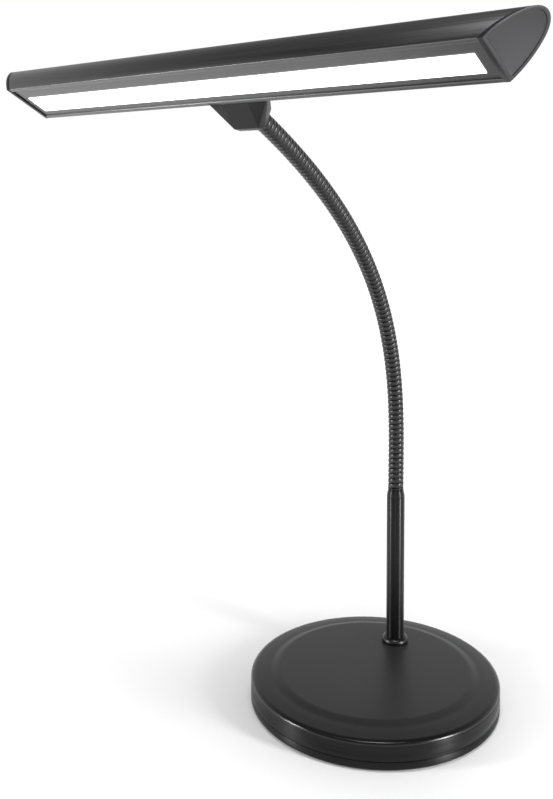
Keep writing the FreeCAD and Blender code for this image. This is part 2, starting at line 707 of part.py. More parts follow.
def led_carrier():
    """Channel over the diffuser that carries the light board and the driver posts."""
    inside = WINDOW_WIDTH + 2 * DIFFUSER_FLANGE + 2 * SLIDE_FIT
    outside = inside + 2 * CARRIER_WALL
    channel = window_block(CARRIER_LENGTH, outside, REFLECTOR_TOP, CARRIER_TOP)
    channel = channel.cut(window_block(CARRIER_LENGTH, inside, REFLECTOR_TOP, WEB_UNDERSIDE))
    for x in (DRIVER_START + DRIVER_POST_END_MARGIN, DRIVER_START + DRIVER_LENGTH - DRIVER_POST_END_MARGIN):
        for side in (-1, 1):
            post = disc(DRIVER_POST_RADIUS, CARRIER_TOP, DRIVER_LEVEL)
            post.translate(Vector(x, WINDOW_CENTRE + side * (DRIVER_WIDTH / 2 - DRIVER_POST_SIDE_MARGIN), 0))
            channel = channel.fuse(post)
    return channel


def led_board():
    """Light board under the channel's web."""
    return window_block(LED_BOARD_LENGTH, LED_BOARD_WIDTH, WEB_UNDERSIDE - LED_BOARD_THICKNESS, WEB_UNDERSIDE)


def led_chips():
    """Row of light chips on the board, as separate solids."""
    high = WEB_UNDERSIDE - LED_BOARD_THICKNESS
    spacing = LED_BOARD_LENGTH / LED_COUNT
    chips = []
    for index in range(LED_COUNT):
        chip = window_block(LED_LENGTH, LED_WIDTH, high - LED_HEIGHT, high)
        chip.translate(Vector((index - (LED_COUNT - 1) / 2) * spacing, 0, 0))
        chips.append(chip)
    return Part.makeCompound(chips)


def driver_board():
    """Board of the current regulator, on the channel's posts."""
    half = DRIVER_WIDTH / 2
    return block((DRIVER_START, DRIVER_START + DRIVER_LENGTH), (WINDOW_CENTRE - half, WINDOW_CENTRE + half),
                 (DRIVER_LEVEL, DRIVER_LEVEL + DRIVER_THICKNESS))


def driver_parts():
    """Coil, capacitor and chip on the driver board, as separate solids."""
    level = DRIVER_LEVEL + DRIVER_THICKNESS
    coil = disc(COIL_RADIUS, level, level + COIL_HEIGHT)
    coil.translate(Vector(DRIVER_START + 0.3 * DRIVER_LENGTH, WINDOW_CENTRE, 0))
    start = DRIVER_START + 0.5 * DRIVER_LENGTH
    capacitor = Part.makeCylinder(CAPACITOR_RADIUS, CAPACITOR_LENGTH,
                                  Vector(start, WINDOW_CENTRE, level + CAPACITOR_RADIUS), Vector(1, 0, 0))
    start = DRIVER_START + 0.78 * DRIVER_LENGTH
    chip = block((start, start + CHIP_LENGTH), (WINDOW_CENTRE - CHIP_WIDTH / 2, WINDOW_CENTRE + CHIP_WIDTH / 2),
                 (level, level + CHIP_HEIGHT))
    return Part.makeCompound([coil, capacitor, chip])


def head_bracket():
    """Wedge block with flared cheeks, seated on the crown, holding the neck."""
    lip = OPENING_HALF_WIDTH
    root = INNER_HALF_WIDTH - BRACKET_ROOT
    cheek_face = lip + CHEEK_DEPTH
    core = [
        (lip - BRACKET_LIP_STEP, 0),
        (BRACKET_CORNER_REACH, -BRACKET_CORNER_DROP),
        (BRACKET_REACH, -BRACKET_HEEL_DROP),
        (BRACKET_REACH, BRACKET_TOP - BRACKET_TOP_ROUND),
        (BRACKET_REACH - BRACKET_TOP_ROUND, BRACKET_TOP),
        (root, BRACKET_TOP),
        (root, 0),
    ]
    cheek = [
        (lip - BRACKET_LIP_STEP, CHEEK_LOW),
        (cheek_face - CHEEK_EDGE, CHEEK_LOW),
        (cheek_face, CHEEK_LOW + CHEEK_EDGE),
        (cheek_face, CHEEK_SIDE_HEIGHT),
        (cheek_face - CHEEK_EDGE, CHEEK_TOP),
        (root, CHEEK_TOP),
        (root, CHEEK_LOW),
    ]
    sections = (
        (-BRACKET_FLARE_HALF_WIDTH, cheek),
        (-BRACKET_HALF_WIDTH, core),
        (BRACKET_HALF_WIDTH, core),
        (BRACKET_FLARE_HALF_WIDTH, cheek),
    )
    loops = [[Vector(x, y, z) for y, z in outline] for x, outline in sections]
    body = faceted(loops, True).cut(d_bar(0))
    stud_hole = along_y(disc(STUD_RADIUS + FIT, -STUD_DEPTH, 1), 0, BRACKET_REACH, NECK_AXIS_HEIGHT)
    return body.cut(stud_hole).cut(passage()).cut(bracket_screws(FIT))


def neck_top_stud():
    """Hollow threaded stud at the neck's top, with a flange against the bracket."""
    stud = turned(
        (NECK_BORE_RADIUS, -STUD_DEPTH),
        (STUD_RADIUS, -STUD_DEPTH),
        (STUD_RADIUS, 0),
        (NECK_CREST_RADIUS, 0),
        (NECK_CREST_RADIUS, STUD_FLANGE_THICKNESS),
        (NECK_BORE_RADIUS, STUD_FLANGE_THICKNESS),
    )
    return along_y(stud, 0, BRACKET_REACH, NECK_AXIS_HEIGHT)


def switch_body():
    """Switch housing under the crown with a bush through it and a well for the button."""
    housing = disc(SWITCH_BODY_RADIUS, -SWITCH_BODY_DEPTH, CROWN_HEIGHT)
    housing = at(housing, switch_place()).common(d_bar(SHADE_WALL))
    bush = at(disc(SWITCH_BUSH_RADIUS, -SWITCH_BODY_DEPTH, SWITCH_BEZEL_HEIGHT), switch_place())
    well = disc(BUTTON_RADIUS + SLIDE_FIT, -SWITCH_WELL_DEPTH, CROWN_HEIGHT)
    return housing.fuse(bush).cut(at(well, switch_place()))


def switch_bezel():
    """Ring nut outside, its underside shaped to the crown."""
    ring = turned(
        (SWITCH_BUSH_RADIUS, -SWITCH_BEZEL_HEIGHT),
        (SWITCH_BEZEL_RADIUS, -SWITCH_BEZEL_HEIGHT),
        (SWITCH_BEZEL_RADIUS, SWITCH_BEZEL_HEIGHT - 0.4),
        (SWITCH_BEZEL_RADIUS - 0.4, SWITCH_BEZEL_HEIGHT),
        (SWITCH_BUSH_RADIUS, SWITCH_BEZEL_HEIGHT),
    )
    return at(ring, switch_place()).cut(d_bar(0))


def switch_button():
    """Button with a bevelled edge that slides in the bush."""
    top = BUTTON_STANDS_OUT + SWITCH_BEZEL_HEIGHT
    low = top - BUTTON_LENGTH
    button = turned((0, low), (BUTTON_RADIUS, low), (BUTTON_RADIUS, top - BUTTON_EDGE),
                    (BUTTON_RADIUS - BUTTON_EDGE, top), (0, top))
    return at(button, switch_place())


def switch_lead():
    """Thin lead from the switch to the driver board."""
    level = DRIVER_LEVEL + DRIVER_THICKNESS / 2
    start = switch_place().multVec(Vector(0, 0, -SWITCH_BODY_DEPTH))
    below = switch_place().multVec(Vector(0, 0, -SWITCH_BODY_DEPTH - SWITCH_LEAD_DROP))
    landing = Vector(DRIVER_START, WINDOW_CENTRE - LEAD_LANDING, level)
    points = [
        start,
        below,
        Vector(DRIVER_START - 2 * LEAD_LANDING_RUN, below.y, level),
        landing - Vector(LEAD_LANDING_RUN, 0, 0),
        landing,
    ]
    return lead(points, SWITCH_LEAD_RADIUS)


def save_base():
    """Write the pieces of the base and the pole."""
    save("base_cover", base_cover())
    save("base_plate", base_plate())
    save("base_weight", base_weight())
    save("foot_pad", disc(PAD_RADIUS, 0, PAD_THICKNESS))
    screws = [at(plate_screw(0), place) for place in plate_screw_places()]
    save("base_screws", Part.makeCompound(screws))
    save("power_inlet", power_inlet())
    save("inlet_nut", inlet_nut())
    save("base_lead", base_lead())
    save("pole_collar", on_pole(pole_collar()))
    save("pole_tube", on_pole(tube(POLE_RADIUS, POLE_BORE_RADIUS, BASE_TOP, POLE_TOP)))
    nipple = tube(NIPPLE_RADIUS, NIPPLE_BORE_RADIUS, NIPPLE_FOOT, BASE_TOP + NIPPLE_RISE)
    save("pole_nipple", on_pole(nipple))
    washer_foot = NUT_SEAT - WASHER_THICKNESS
    save("pole_washer", on_pole(tube(WASHER_RADIUS, POLE_BORE_RADIUS, washer_foot, NUT_SEAT)))
    nut = hexagon(NUT_ACROSS_FLATS, NIPPLE_FOOT, washer_foot).cut(disc(NIPPLE_RADIUS, 0, FAR))
    save("pole_nut", on_pole(nut))
    save("neck_ferrule", on_pole(neck_ferrule()))


def save_neck():
    """Write the lengths of the neck and of the lead in them."""
    points = neck_points()
    for index in range(NECK_LENGTH_COUNT):
        hose, core = neck_length_and_lead(points[index], points[index + 1])
        save("neck_length_%02d" % (index + 1), hose)
        save("neck_lead_%02d" % (index + 1), core)


def save_head():
    """Write the pieces of the shade, the bracket and the switch."""
    pieces = {
        "shade_shell": shade_shell(),
        "shade_end_left": shade_end(-1),
        "shade_end_right": shade_end(1),
        "reflector_plate": reflector_plate(),
        "led_diffuser": led_diffuser(),
        "led_carrier": led_carrier(),
        "led_board": led_board(),
        "led_chips": led_chips(),
        "driver_board": driver_board(),
        "driver_parts": driver_parts(),
        "head_lead": lead(head_lead_points(), LEAD_RADIUS),
        "head_bracket": head_bracket(),
        "bracket_screws": bracket_screws(0),
        "neck_top_stud": neck_top_stud(),
        "switch_body": switch_body(),
        "switch_bezel": switch_bezel(),
        "switch_button": switch_button(),
        "switch_lead": switch_lead(),
    }
    for name, shape in pieces.items():
        save(name, at(shape, HEAD_PLACE))


os.makedirs("parts", exist_ok=True)
save_base()
save_neck()
save_head()
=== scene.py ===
"""A piano lamp: round base, short pole, ribbed gooseneck and a long bar shade, dressed for rendering.

Lengths are in metres. +Z is up, the lit side of the shade faces -Y, and X runs along the shade.
"""

import json
import logging
import math
from contextlib import contextmanager
from dataclasses import dataclass, field
from enum import Enum
from typing import Any, Callable, Iterator, Sequence

import bpy
from mathutils import Matrix, Vector
from mathutils.geometry import interpolate_bezier

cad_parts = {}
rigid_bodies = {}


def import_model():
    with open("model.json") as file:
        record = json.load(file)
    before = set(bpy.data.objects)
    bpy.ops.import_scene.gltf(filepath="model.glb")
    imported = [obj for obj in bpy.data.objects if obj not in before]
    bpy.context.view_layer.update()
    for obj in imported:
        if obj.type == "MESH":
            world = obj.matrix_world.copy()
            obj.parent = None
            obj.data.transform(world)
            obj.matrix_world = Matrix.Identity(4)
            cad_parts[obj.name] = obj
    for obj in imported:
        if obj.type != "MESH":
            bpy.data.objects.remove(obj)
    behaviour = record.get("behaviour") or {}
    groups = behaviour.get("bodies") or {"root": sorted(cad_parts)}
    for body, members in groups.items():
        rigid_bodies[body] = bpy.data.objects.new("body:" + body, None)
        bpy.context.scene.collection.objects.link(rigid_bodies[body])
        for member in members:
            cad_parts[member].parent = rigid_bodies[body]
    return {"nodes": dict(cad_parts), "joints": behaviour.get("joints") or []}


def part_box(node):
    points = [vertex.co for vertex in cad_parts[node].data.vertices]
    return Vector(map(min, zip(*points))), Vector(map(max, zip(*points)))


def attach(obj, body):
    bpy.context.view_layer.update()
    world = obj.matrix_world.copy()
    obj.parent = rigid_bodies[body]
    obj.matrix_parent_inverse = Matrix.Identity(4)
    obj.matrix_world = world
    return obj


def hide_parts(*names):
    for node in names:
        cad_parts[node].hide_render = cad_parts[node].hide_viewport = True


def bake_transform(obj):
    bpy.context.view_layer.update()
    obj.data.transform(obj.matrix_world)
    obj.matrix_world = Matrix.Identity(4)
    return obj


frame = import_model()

log = logging.getLogger("piano_lamp")

MM = 0.001
Triple = tuple[float, float, float]
Colour = Triple
Spot = tuple[float, float]
Outline = Sequence[Spot]
# Where an outline has its points, as shares of a curved stretch.
CURVE_SHARES = (0.15, 0.3, 0.45, 0.6, 0.75, 0.9)


def shade_of(level: float, blue: float = 0.0) -> Colour:
    """Gives the linear colour of a display grey.

    Args:
        level: Grey as it shows on a display, from 0 to 255.
        blue: Levels added to the blue part only.

    Returns:
        Linear red, green and blue.
    """
    def linear(value: float) -> float:
        """Turns one display value into a linear one."""
        share = value / 255
        return share / 12.92 if share <= 0.04045 else ((share + 0.055) / 1.055) ** 2.4

    return linear(level), linear(level), linear(level + blue)


class Grain(Enum):
    """How the tool marks or the texture of a finish run."""

    PLAIN = "plain"
    ALONG_SHADE = "along the shade"
    ROUND_BASE = "round the base"
    POWDER = "powder coat"
    CAST = "rough casting"


class Value:
    """A number that varies over a surface. Arithmetic on it adds Math nodes."""

    def __init__(self, paint: "Paint", socket: bpy.types.NodeSocket) -> None:
        """Wraps a socket of a paint's node tree."""
        self.paint = paint
        self.socket = socket

    def _math(self, operation: str, first: Any, second: Any) -> "Value":
        """Adds one Math node and wraps its result."""
        return self.paint.node("ShaderNodeMath", {"operation": operation}, {0: first, 1: second})

    def __add__(self, other: Any) -> "Value":
        """Sum."""
        return self._math("ADD", self, other)

    def __radd__(self, other: Any) -> "Value":
        """Sum, from the right."""
        return self._math("ADD", other, self)

    def __sub__(self, other: Any) -> "Value":
        """Difference."""
        return self._math("SUBTRACT", self, other)

    def __rsub__(self, other: Any) -> "Value":
        """Difference, from the right."""
        return self._math("SUBTRACT", other, self)

    def __mul__(self, other: Any) -> "Value":
        """Product."""
        return self._math("MULTIPLY", self, other)


class Paint:
    """The node tree of a material or of the world."""

    def __init__(self, owner: bpy.types.ID) -> None:
        """Empties the node tree of a new material or world.

        Args:
            owner: The material or world.
        """
        self.owner = owner
        owner.use_nodes = True
        self.tree = owner.node_tree
        self.tree.nodes.clear()

    def node(self, kind: str, settings: dict[str, Any], inputs: dict[Any, Any], output: Any = 0) -> Value:
        """Adds a node.

        Args:
            kind: The node's type.
            settings: Its own settings, set first.
            inputs: Values or links for its sockets, by name or number.
            output: Which output to wrap, by name or number.

        Returns:
            The wrapped output.
        """
        made = self.tree.nodes.new(kind)
        for name, value in settings.items():
            setattr(made, name, value)
        for name, value in inputs.items():
            if isinstance(value, Value):
                self.tree.links.new(value.socket, made.inputs[name])
            else:
                made.inputs[name].default_value = value
        return Value(self, made.outputs[output])

    def place(self) -> Value:
        """Gives the place on the object, in metres."""
        return self.node("ShaderNodeTexCoord", {}, {}, "Object")

    def stretched_noise(self, scale: Triple, detail: float = 4.0) -> Value:
        """Adds a noise that is stretched or squeezed along each axis.

        Args:
            scale: Waves per metre along X, Y and Z.
            detail: How many finer layers it has.

        Returns:
            The noise, about 0.5.
        """
        mapping = self.node("ShaderNodeMapping", {}, {"Vector": self.place(), "Scale": scale})
        return self.node("ShaderNodeTexNoise", {}, {"Vector": mapping, "Scale": 1.0, "Detail": detail})

    def metal_or_plastic(self, sockets: dict[str, Any]) -> bpy.types.Material:
        """Ends the tree with the main shader.

        Args:
            sockets: Values or links for the shader's sockets.

        Returns:
            The finished material.
        """
        self.end_with(self.node("ShaderNodeBsdfPrincipled", {}, sockets))
        return self.owner

    def end_with(self, shader: Value, kind: str = "ShaderNodeOutputMaterial") -> None:
        """Links a shader to a new output node of a kind."""
        output = self.tree.nodes.new(kind)
        self.tree.links.new(shader.socket, output.inputs["Surface"])

    def rays(self, *kinds: str) -> Value:
        """Tells some kinds of rays from the others.

        Args:
            kinds: Outputs of the light path.

        Returns:
            1 for a ray of those kinds, else 0.
        """
        shares = [self.node("ShaderNodeLightPath", {}, {}, kind) for kind in kinds]
        return sum(shares[1:], shares[0])

    def ramp(self, value: Value, span: Spot, result: Spot, kind: str = "SMOOTHSTEP") -> Value:
        """Maps a value from one span to another.

        Args:
            value: The value.
            span: Where the ramp starts and ends.
            result: What it gives there.
            kind: How it runs between them.

        Returns:
            The mapped value.
        """
        inputs = {"Value": value, "From Min": span[0], "From Max": span[1], "To Min": result[0], "To Max": result[1]}
        return self.node("ShaderNodeMapRange", {"interpolation_type": kind}, inputs)


@dataclass(frozen=True)
class Finish:
    """A surface finish with its texture.

    Attributes:
        name: The finish's name.
        slot: The record's material slot; not used.
        colour: Main colour, linear.
        roughness: Mean roughness.
        metallic: 1 for bare metal.
        specular: Level of the plain reflection.
        grain: How the texture runs.
        tone: How much the texture changes the colour, as a share.
        rub: How much the texture changes the roughness.
        relief: Height of the texture in metres.
        fine: Waves per metre across the texture.
        turned: How much the reflections stretch along Z, as on turned or round-brushed metal.
    """

    name: str
    slot: str
    colour: Colour
    roughness: float
    metallic: float = 0.0
    specular: float = 0.5
    grain: Grain = Grain.PLAIN
    tone: float = 0.1
    rub: float = 0.06
    relief: float = 0.00001
    fine: float = 2500.0
    turned: float = 0.0

    def material(self) -> bpy.types.Material:
        """Builds the material, or gives it again if it is there."""
        made = bpy.data.materials.get(self.name)
        return made if made is not None else self.build(Paint(bpy.data.materials.new(self.name)))

    def scales(self) -> Triple:
        """Gives the fineness of the texture.

        Returns:
            Waves per metre along X, Y and Z.
        """
        fine = self.fine
        return {
            Grain.PLAIN: (fine * 0.1, fine * 0.1, fine * 0.1),
            Grain.ALONG_SHADE: (fine * 0.01, fine, fine),
            Grain.ROUND_BASE: (fine * 0.015, fine * 0.015, fine),
            Grain.POWDER: (fine, fine, fine),
            Grain.CAST: (fine * 0.4, fine * 0.4, fine * 0.4),
        }[self.grain]

    def build(self, paint: Paint) -> bpy.types.Material:
        """Builds the node tree.

        Args:
            paint: An empty material.

        Returns:
            The finished material.
        """
        return paint.metal_or_plastic(self.sockets(paint, paint.stretched_noise(self.scales())))

    def toned(self, paint: Paint, noise: Value) -> Value:
        """Makes the colour a little darker or lighter with the texture.

        Args:
            paint: The material.
            noise: The texture, about 0.5.

        Returns:
            The changed colour.
        """
        level = 1.0 + (noise - 0.5) * (2 * self.tone)
        grey = paint.node("ShaderNodeCombineColor", {}, {0: level, 1: level, 2: level})
        settings = {"data_type": "RGBA", "blend_type": "MULTIPLY"}
        return paint.node("ShaderNodeMix", settings, {"Factor": 1.0, 6: (*self.colour, 1.0), 7: grey}, 2)

    def sockets(self, paint: Paint, noise: Value) -> dict[str, Any]:
        """Gives what the shader's sockets hold.

        Args:
            paint: The material.
            noise: The texture, about 0.5.

        Returns:
            Values and links for the shader's sockets.
        """
        bump_inputs = {"Height": noise, "Distance": self.relief, "Strength": 1.0}
        return {
            "Base Color": self.toned(paint, noise),
            "Metallic": self.metallic,
            "Roughness": self.roughness + (noise - 0.5) * (2 * self.rub),
            "Specular IOR Level": self.specular,
            "Anisotropic": self.turned,
            "Anisotropic Rotation": 0.25,
            "Normal": paint.node("ShaderNodeBump", {}, bump_inputs),
        }


@dataclass(frozen=True)
class Lit(Finish):
    """A finish that gives light evenly.

    Attributes:
        strength: Strength of its light.
    """

    strength: float = 3.0

    def sockets(self, paint: Paint, noise: Value) -> dict[str, Any]:
        """Adds the light to what the shader's sockets hold.

        Args:
            paint: The material.
            noise: The texture, about 0.5.

        Returns:
            Values and links for the shader's sockets.
        """
        light = {"Emission Color": (1.0, 1.0, 1.0, 1.0), "Emission Strength": self.strength}
        return {**super().sockets(paint, noise), **light}


BASE_PAINT = Finish("charcoal base paint", "black_paint", shade_of(36, 1), 0.4, specular=0.3,
                    grain=Grain.POWDER, tone=0.12, rub=0.06, relief=0.00001, fine=800)
RIM_PAINT = Finish("brushed black rim", "black_paint", shade_of(8, 1), 0.4, specular=0.28,
                   grain=Grain.ROUND_BASE, tone=0.35, rub=0.4, relief=0.00008, fine=500, turned=0.92)
SHOULDER = Finish("polished black shoulder", "black_paint", shade_of(10, 1), 0.24, specular=0.5,
                  grain=Grain.ROUND_BASE, tone=0.2, rub=0.08, relief=0.000004, fine=1600)
GLOSS_BLACK = Finish("gloss black enamel", "gloss_black", shade_of(6), 0.36, specular=0.34, rub=0.02,
                     relief=0.000001, turned=0.92)
NECK_BLACK = Finish("gloss black neck", "neck_black", shade_of(6), 0.32, specular=0.5, rub=0.02, relief=0.000001)
SHADE_METAL = Finish("dark brushed shade", "shade_metal", shade_of(100, 1), 0.36, metallic=1.0,
                     grain=Grain.ALONG_SHADE, tone=0.35, rub=0.1, relief=0.00004, fine=1000)
# Painted shade: the end plates are the same metal as the shell, given a darker colour for the shadow on their faces.
SHADED_END_METAL = Finish("shade ends with painted shadow", "shade_metal", shade_of(62, 1), 0.42, metallic=1.0,
                   grain=Grain.POWDER, tone=0.05, rub=0.04, relief=0.000006, fine=2500)
REFLECTOR = Finish("reflector", "reflector", shade_of(150), 0.35, metallic=0.6, grain=Grain.ALONG_SHADE,
                   tone=0.06, rub=0.05, fine=3000)
BRACKET_BLACK = Finish("satin black bracket", "black_metal", shade_of(20, 1), 0.45, specular=0.22,
                       grain=Grain.POWDER, tone=0.08, relief=0.000008)
OPAL = Lit("opal strip", "opal", (0.9, 0.9, 0.9), 0.4, tone=0.01, strength=2.2)
IRON = Finish("cast iron", "iron", shade_of(88), 0.7, metallic=0.8, grain=Grain.CAST, tone=0.3, rub=0.1,
              relief=0.0002)
FOAM = Finish("black foam", "foam", shade_of(32), 0.9, specular=0.2, grain=Grain.POWDER, tone=0.3,
              relief=0.0001)
ZINC = Finish("zinc plated steel", "steel", shade_of(196), 0.32, metallic=1.0, tone=0.08)
NICKEL = Finish("nickel plated", "plated", shade_of(206), 0.24, metallic=1.0, tone=0.05)
SOCKET_PLASTIC = Finish("socket plastic", "socket_plastic", shade_of(30), 0.5, grain=Grain.POWDER)
BUTTON_PLASTIC = Finish("button plastic", "button_plastic", shade_of(34), 0.3, grain=Grain.POWDER)
LEAD_JACKET = Finish("lead jacket", "lead_jacket", shade_of(30), 0.6, grain=Grain.POWDER)
MILL_ALUMINIUM = Finish("mill aluminium", "channel", shade_of(214), 0.36, metallic=1.0,
                        grain=Grain.ALONG_SHADE)
WHITE_BOARD = Finish("white board", "board_white", shade_of(236), 0.45)
GREEN_BOARD = Finish("green board", "board_green", (0.02, 0.13, 0.06), 0.4, tone=0.2)
PHOSPHOR = Finish("phosphor", "chip", (0.9, 0.72, 0.18), 0.35)
COMPONENTS = Finish("moulded components", "components", shade_of(48), 0.5)


class Form:
    """One mesh, shaped by Blender's own operators."""

    def __init__(self, name: str) -> None:
        """Takes the object that was just added.

        Args:
            name: The name for the object and its mesh.
        """
        self.object = bpy.context.active_object
        self.object.name = name
        self.object.data.name = name
        bpy.ops.object.transform_apply(location=True, rotation=True, scale=True)

    @staticmethod
    def clear_selection() -> None:
        """Deselects everything, the loaded nodes too."""
        bpy.ops.object.select_all(action="DESELECT")

    @classmethod
    def ring(cls, name: str, radius: float, height: float, steps: int, filled: bool = False) -> "Form":
        """Adds a circle about Z.

        Args:
            name: The form's name.
            radius: The circle's radius.
            height: Its height.
            steps: How many points it has.
            filled: Whether it has a face.

        Returns:
            The new form.
        """
        cls.clear_selection()
        bpy.ops.mesh.primitive_circle_add(vertices=steps, radius=radius, location=(0, 0, height),
                                          fill_type="NGON" if filled else "NOTHING")
        return cls(name)

    @classmethod
    def block(cls, name: str, low: Vector, high: Vector) -> "Form":
        """Adds a box between two corners.

        Args:
            name: The form's name.
            low: Its lowest corner.
            high: Its highest corner.

        Returns:
            The new form.
        """
        cls.clear_selection()
        bpy.ops.mesh.primitive_cube_add(size=1, location=(low + high) / 2, scale=high - low)
        return cls(name)

    @classmethod
    def turned(cls, name: str, outline: Outline, steps: int, closed: bool = False, filled: bool = False) -> "Form":
        """Extrudes a ring through an outline, as on a lathe.

        Args:
            name: The form's name.
            outline: Points of radius and height. A last radius of 0 closes the top.
            steps: How many points each ring has.
            closed: Whether the outline comes back to its first point.
            filled: Whether the first ring has a face, which then also closes the top.

        Returns:
            The new form.
        """
        radius, height = outline[0]
        form = cls.ring(name, radius, height, steps, filled)
        path = list(outline[1:]) + ([outline[0]] if closed else [])
        bpy.context.tool_settings.mesh_select_mode = (not filled, False, filled)
        with form.editing():
            bpy.ops.mesh.select_all(action="SELECT")
            for next_radius, next_height in path:
                move = {"value": (0, 0, next_height - height)}
                bpy.ops.mesh.extrude_region_move(TRANSFORM_OT_translate=move)
                if next_radius > 0:
                    ratio = next_radius / radius
                    bpy.ops.transform.resize(value=(ratio, ratio, 1), center_override=(0, 0, 0))
                else:
                    bpy.ops.mesh.merge(type="CENTER")
                radius, height = next_radius, next_height
        form.tidy()
        return form

    def activate(self) -> None:
        """Makes this form the one selected and active object."""
        self.clear_selection()
        self.object.select_set(True)
        bpy.context.view_layer.objects.active = self.object

    @contextmanager
    def editing(self) -> Iterator[None]:
        """Keeps this form in edit mode for a while."""
        self.activate()
        bpy.ops.object.mode_set(mode="EDIT")
        yield
        bpy.ops.object.mode_set(mode="OBJECT")

    def pick_points(self, test: Callable[[Vector], bool]) -> None:
        """Selects points by their place.

        Args:
            test: Says whether a point at that place is wanted.
        """
        self._pick(self.object.data.vertices, (True, False, False), lambda item: test(item.co))

    def pick_edges(self, test: Callable[[Vector, Vector], bool]) -> None:
        """Selects edges by the places of their two ends.

        Args:
            test: Says whether an edge between those places is wanted.
        """
        points = self.object.data.vertices
        self._pick(self.object.data.edges, (False, True, False),
                   lambda item: test(points[item.vertices[0]].co, points[item.vertices[1]].co))

    def pick_faces(self, test: Callable[[Vector, Vector], bool]) -> None:
        """Selects faces by their middle and normal.

        Args:
            test: Says whether a face with that middle and normal is wanted.
        """
        self._pick(self.object.data.polygons, (False, False, True), lambda item: test(item.center, item.normal))

    def _pick(self, items: Any, mode: tuple[bool, bool, bool], wanted: Callable[[Any], bool]) -> None:
        """Deselects all and selects the wanted items.

        Args:
            items: The mesh's points, edges or faces.
            mode: Whether points, edges and faces can be selected.
            wanted: Says whether an item is wanted.
        """
        mesh = self.object.data
        bpy.context.tool_settings.mesh_select_mode = mode
        for every in (mesh.vertices, mesh.edges, mesh.polygons):
            every.foreach_set("select", [False] * len(every))
        for item in items:
            item.select = wanted(item)

    def shift_corner(self, start: Vector, end: Vector) -> None:
        """Moves the points at one place to another place.

        Args:
            start: Where they are.
            end: Where they go.
        """
        self.pick_points(lambda point: (point - start).length < 0.02 * MM)
        with self.editing():
            bpy.ops.transform.translate(value=end - start)

    def face_away(self, test: Callable[[Vector, Vector], bool]) -> None:
        """Turns all faces over if the first of them faces the wrong way.

        Args:
            test: Says whether a face with that middle and normal faces the right way.
        """
        first = self.object.data.polygons[0]
        if not test(first.center, first.normal):
            with self.editing():
                bpy.ops.mesh.select_all(action="SELECT")
                bpy.ops.mesh.flip_normals()

    def cut(self, point: Vector, normal: Vector, fill: bool = True) -> None:
        """Cuts all that lies in front of a plane away.

        Args:
            point: A point on the plane.
            normal: The plane's normal, towards what goes.
            fill: Whether the cut is closed with a face.
        """
        self.pick_faces(lambda middle, facing: True)
        with self.editing():
            bpy.ops.mesh.select_all(action="SELECT")
            bpy.ops.mesh.bisect(plane_co=point, plane_no=normal.normalized(), clear_outer=True, use_fill=fill,
                                threshold=0.000001)

    def tidy(self) -> None:
        """Merges doubles and turns all faces outwards."""
        with self.editing():
            bpy.ops.mesh.select_all(action="SELECT")
            bpy.ops.mesh.remove_doubles(threshold=0.000004)
            bpy.ops.mesh.normals_make_consistent(inside=False)

    def modify(self, kind: str, **settings: Any) -> None:
        """Adds a modifier and applies it.

        Args:
            kind: The modifier's type.
            settings: Its settings.
        """
        self.activate()
        modifier = self.object.modifiers.new(kind.lower(), kind)
        for name, value in settings.items():
            setattr(modifier, name, value)
        bpy.ops.object.modifier_apply(modifier=modifier.name)

    def round_edges(self, width: float, segments: int = 3, angle: float = 28.0) -> None:
        """Bevels all edges that are sharper than an angle.

        Args:
            width: Width of the bevel.
            segments: How many steps it has.
            angle: The angle in degrees.
        """
        self.modify("BEVEL", width=width, segments=segments, limit_method="ANGLE",
                    angle_limit=math.radians(angle), use_clamp_overlap=True)

    def subtract(self, other: "Form") -> None:
        """Cuts another form out of this one, and deletes it."""
        self.modify("BOOLEAN", operation="DIFFERENCE", object=other.object, solver="EXACT")
        bpy.data.objects.remove(other.object)

    def move(self, matrix: Matrix) -> None:
        """Puts the mesh in its place, with the object left at the origin."""
        self.object.data.transform(matrix)

    def smooth(self, angle: float = 30.0) -> None:
        """Shades all edges smooth that are flatter than an angle.

        Args:
            angle: The angle in degrees.
        """
        self.activate()
        bpy.ops.object.shade_smooth_by_angle(angle=math.radians(angle))

    def dress(self, finish: Finish, *replaced: str) -> None:
        """Gives the form its finish and says which nodes it stands for.

        Args:
            finish: The finish.
            replaced: The nodes that it stands for.
        """
        self.object.data.materials.clear()
        self.object.data.materials.append(finish.material())
        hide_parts(*replaced)

    def dress_part(self, finish: Finish, test: Callable[[Vector, Vector], bool]) -> None:
        """Gives some faces another finish.

        Args:
            finish: The finish.
            test: Says whether a face with that middle and normal takes it.
        """
        self.object.data.materials.append(finish.material())
        index = len(self.object.data.materials) - 1
        for polygon in self.object.data.polygons:
            if test(polygon.center, polygon.normal):
                polygon.material_index = index

    def mark_sharp(self, test: Callable[[Vector, Vector], bool]) -> None:
        """Keeps some edges crisp under smooth shading.

        Args:
            test: Says whether an edge between two places is wanted.
        """
        self.pick_edges(test)
        with self.editing():
            bpy.ops.mesh.mark_sharp()

    def ride(self, body: str) -> None:
        """Fastens the form to a body."""
        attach(self.object, body)
        log.info("%s rides on %s, %d faces", self.object.name, body, len(self.object.data.polygons))


def quarter(start: Spot, end: Spot, steps: int, rising_first: bool) -> list[Spot]:
    """Gives points on a quarter of an ellipse between two points of an outline.

    Args:
        start: First point, not given again.
        end: Last point.
        steps: How many points.
        rising_first: Whether the curve leaves the first point straight up.

    Returns:
        The points after the first, the last one included.
    """
    points = []
    for index in range(1, steps + 1):
        angle = math.pi / 2 * index / steps
        if rising_first:
            across, along = 1 - math.cos(angle), math.sin(angle)
        else:
            across, along = math.sin(angle), 1 - math.cos(angle)
        points.append((start[0] + (end[0] - start[0]) * across, start[1] + (end[1] - start[1]) * along))
    return points


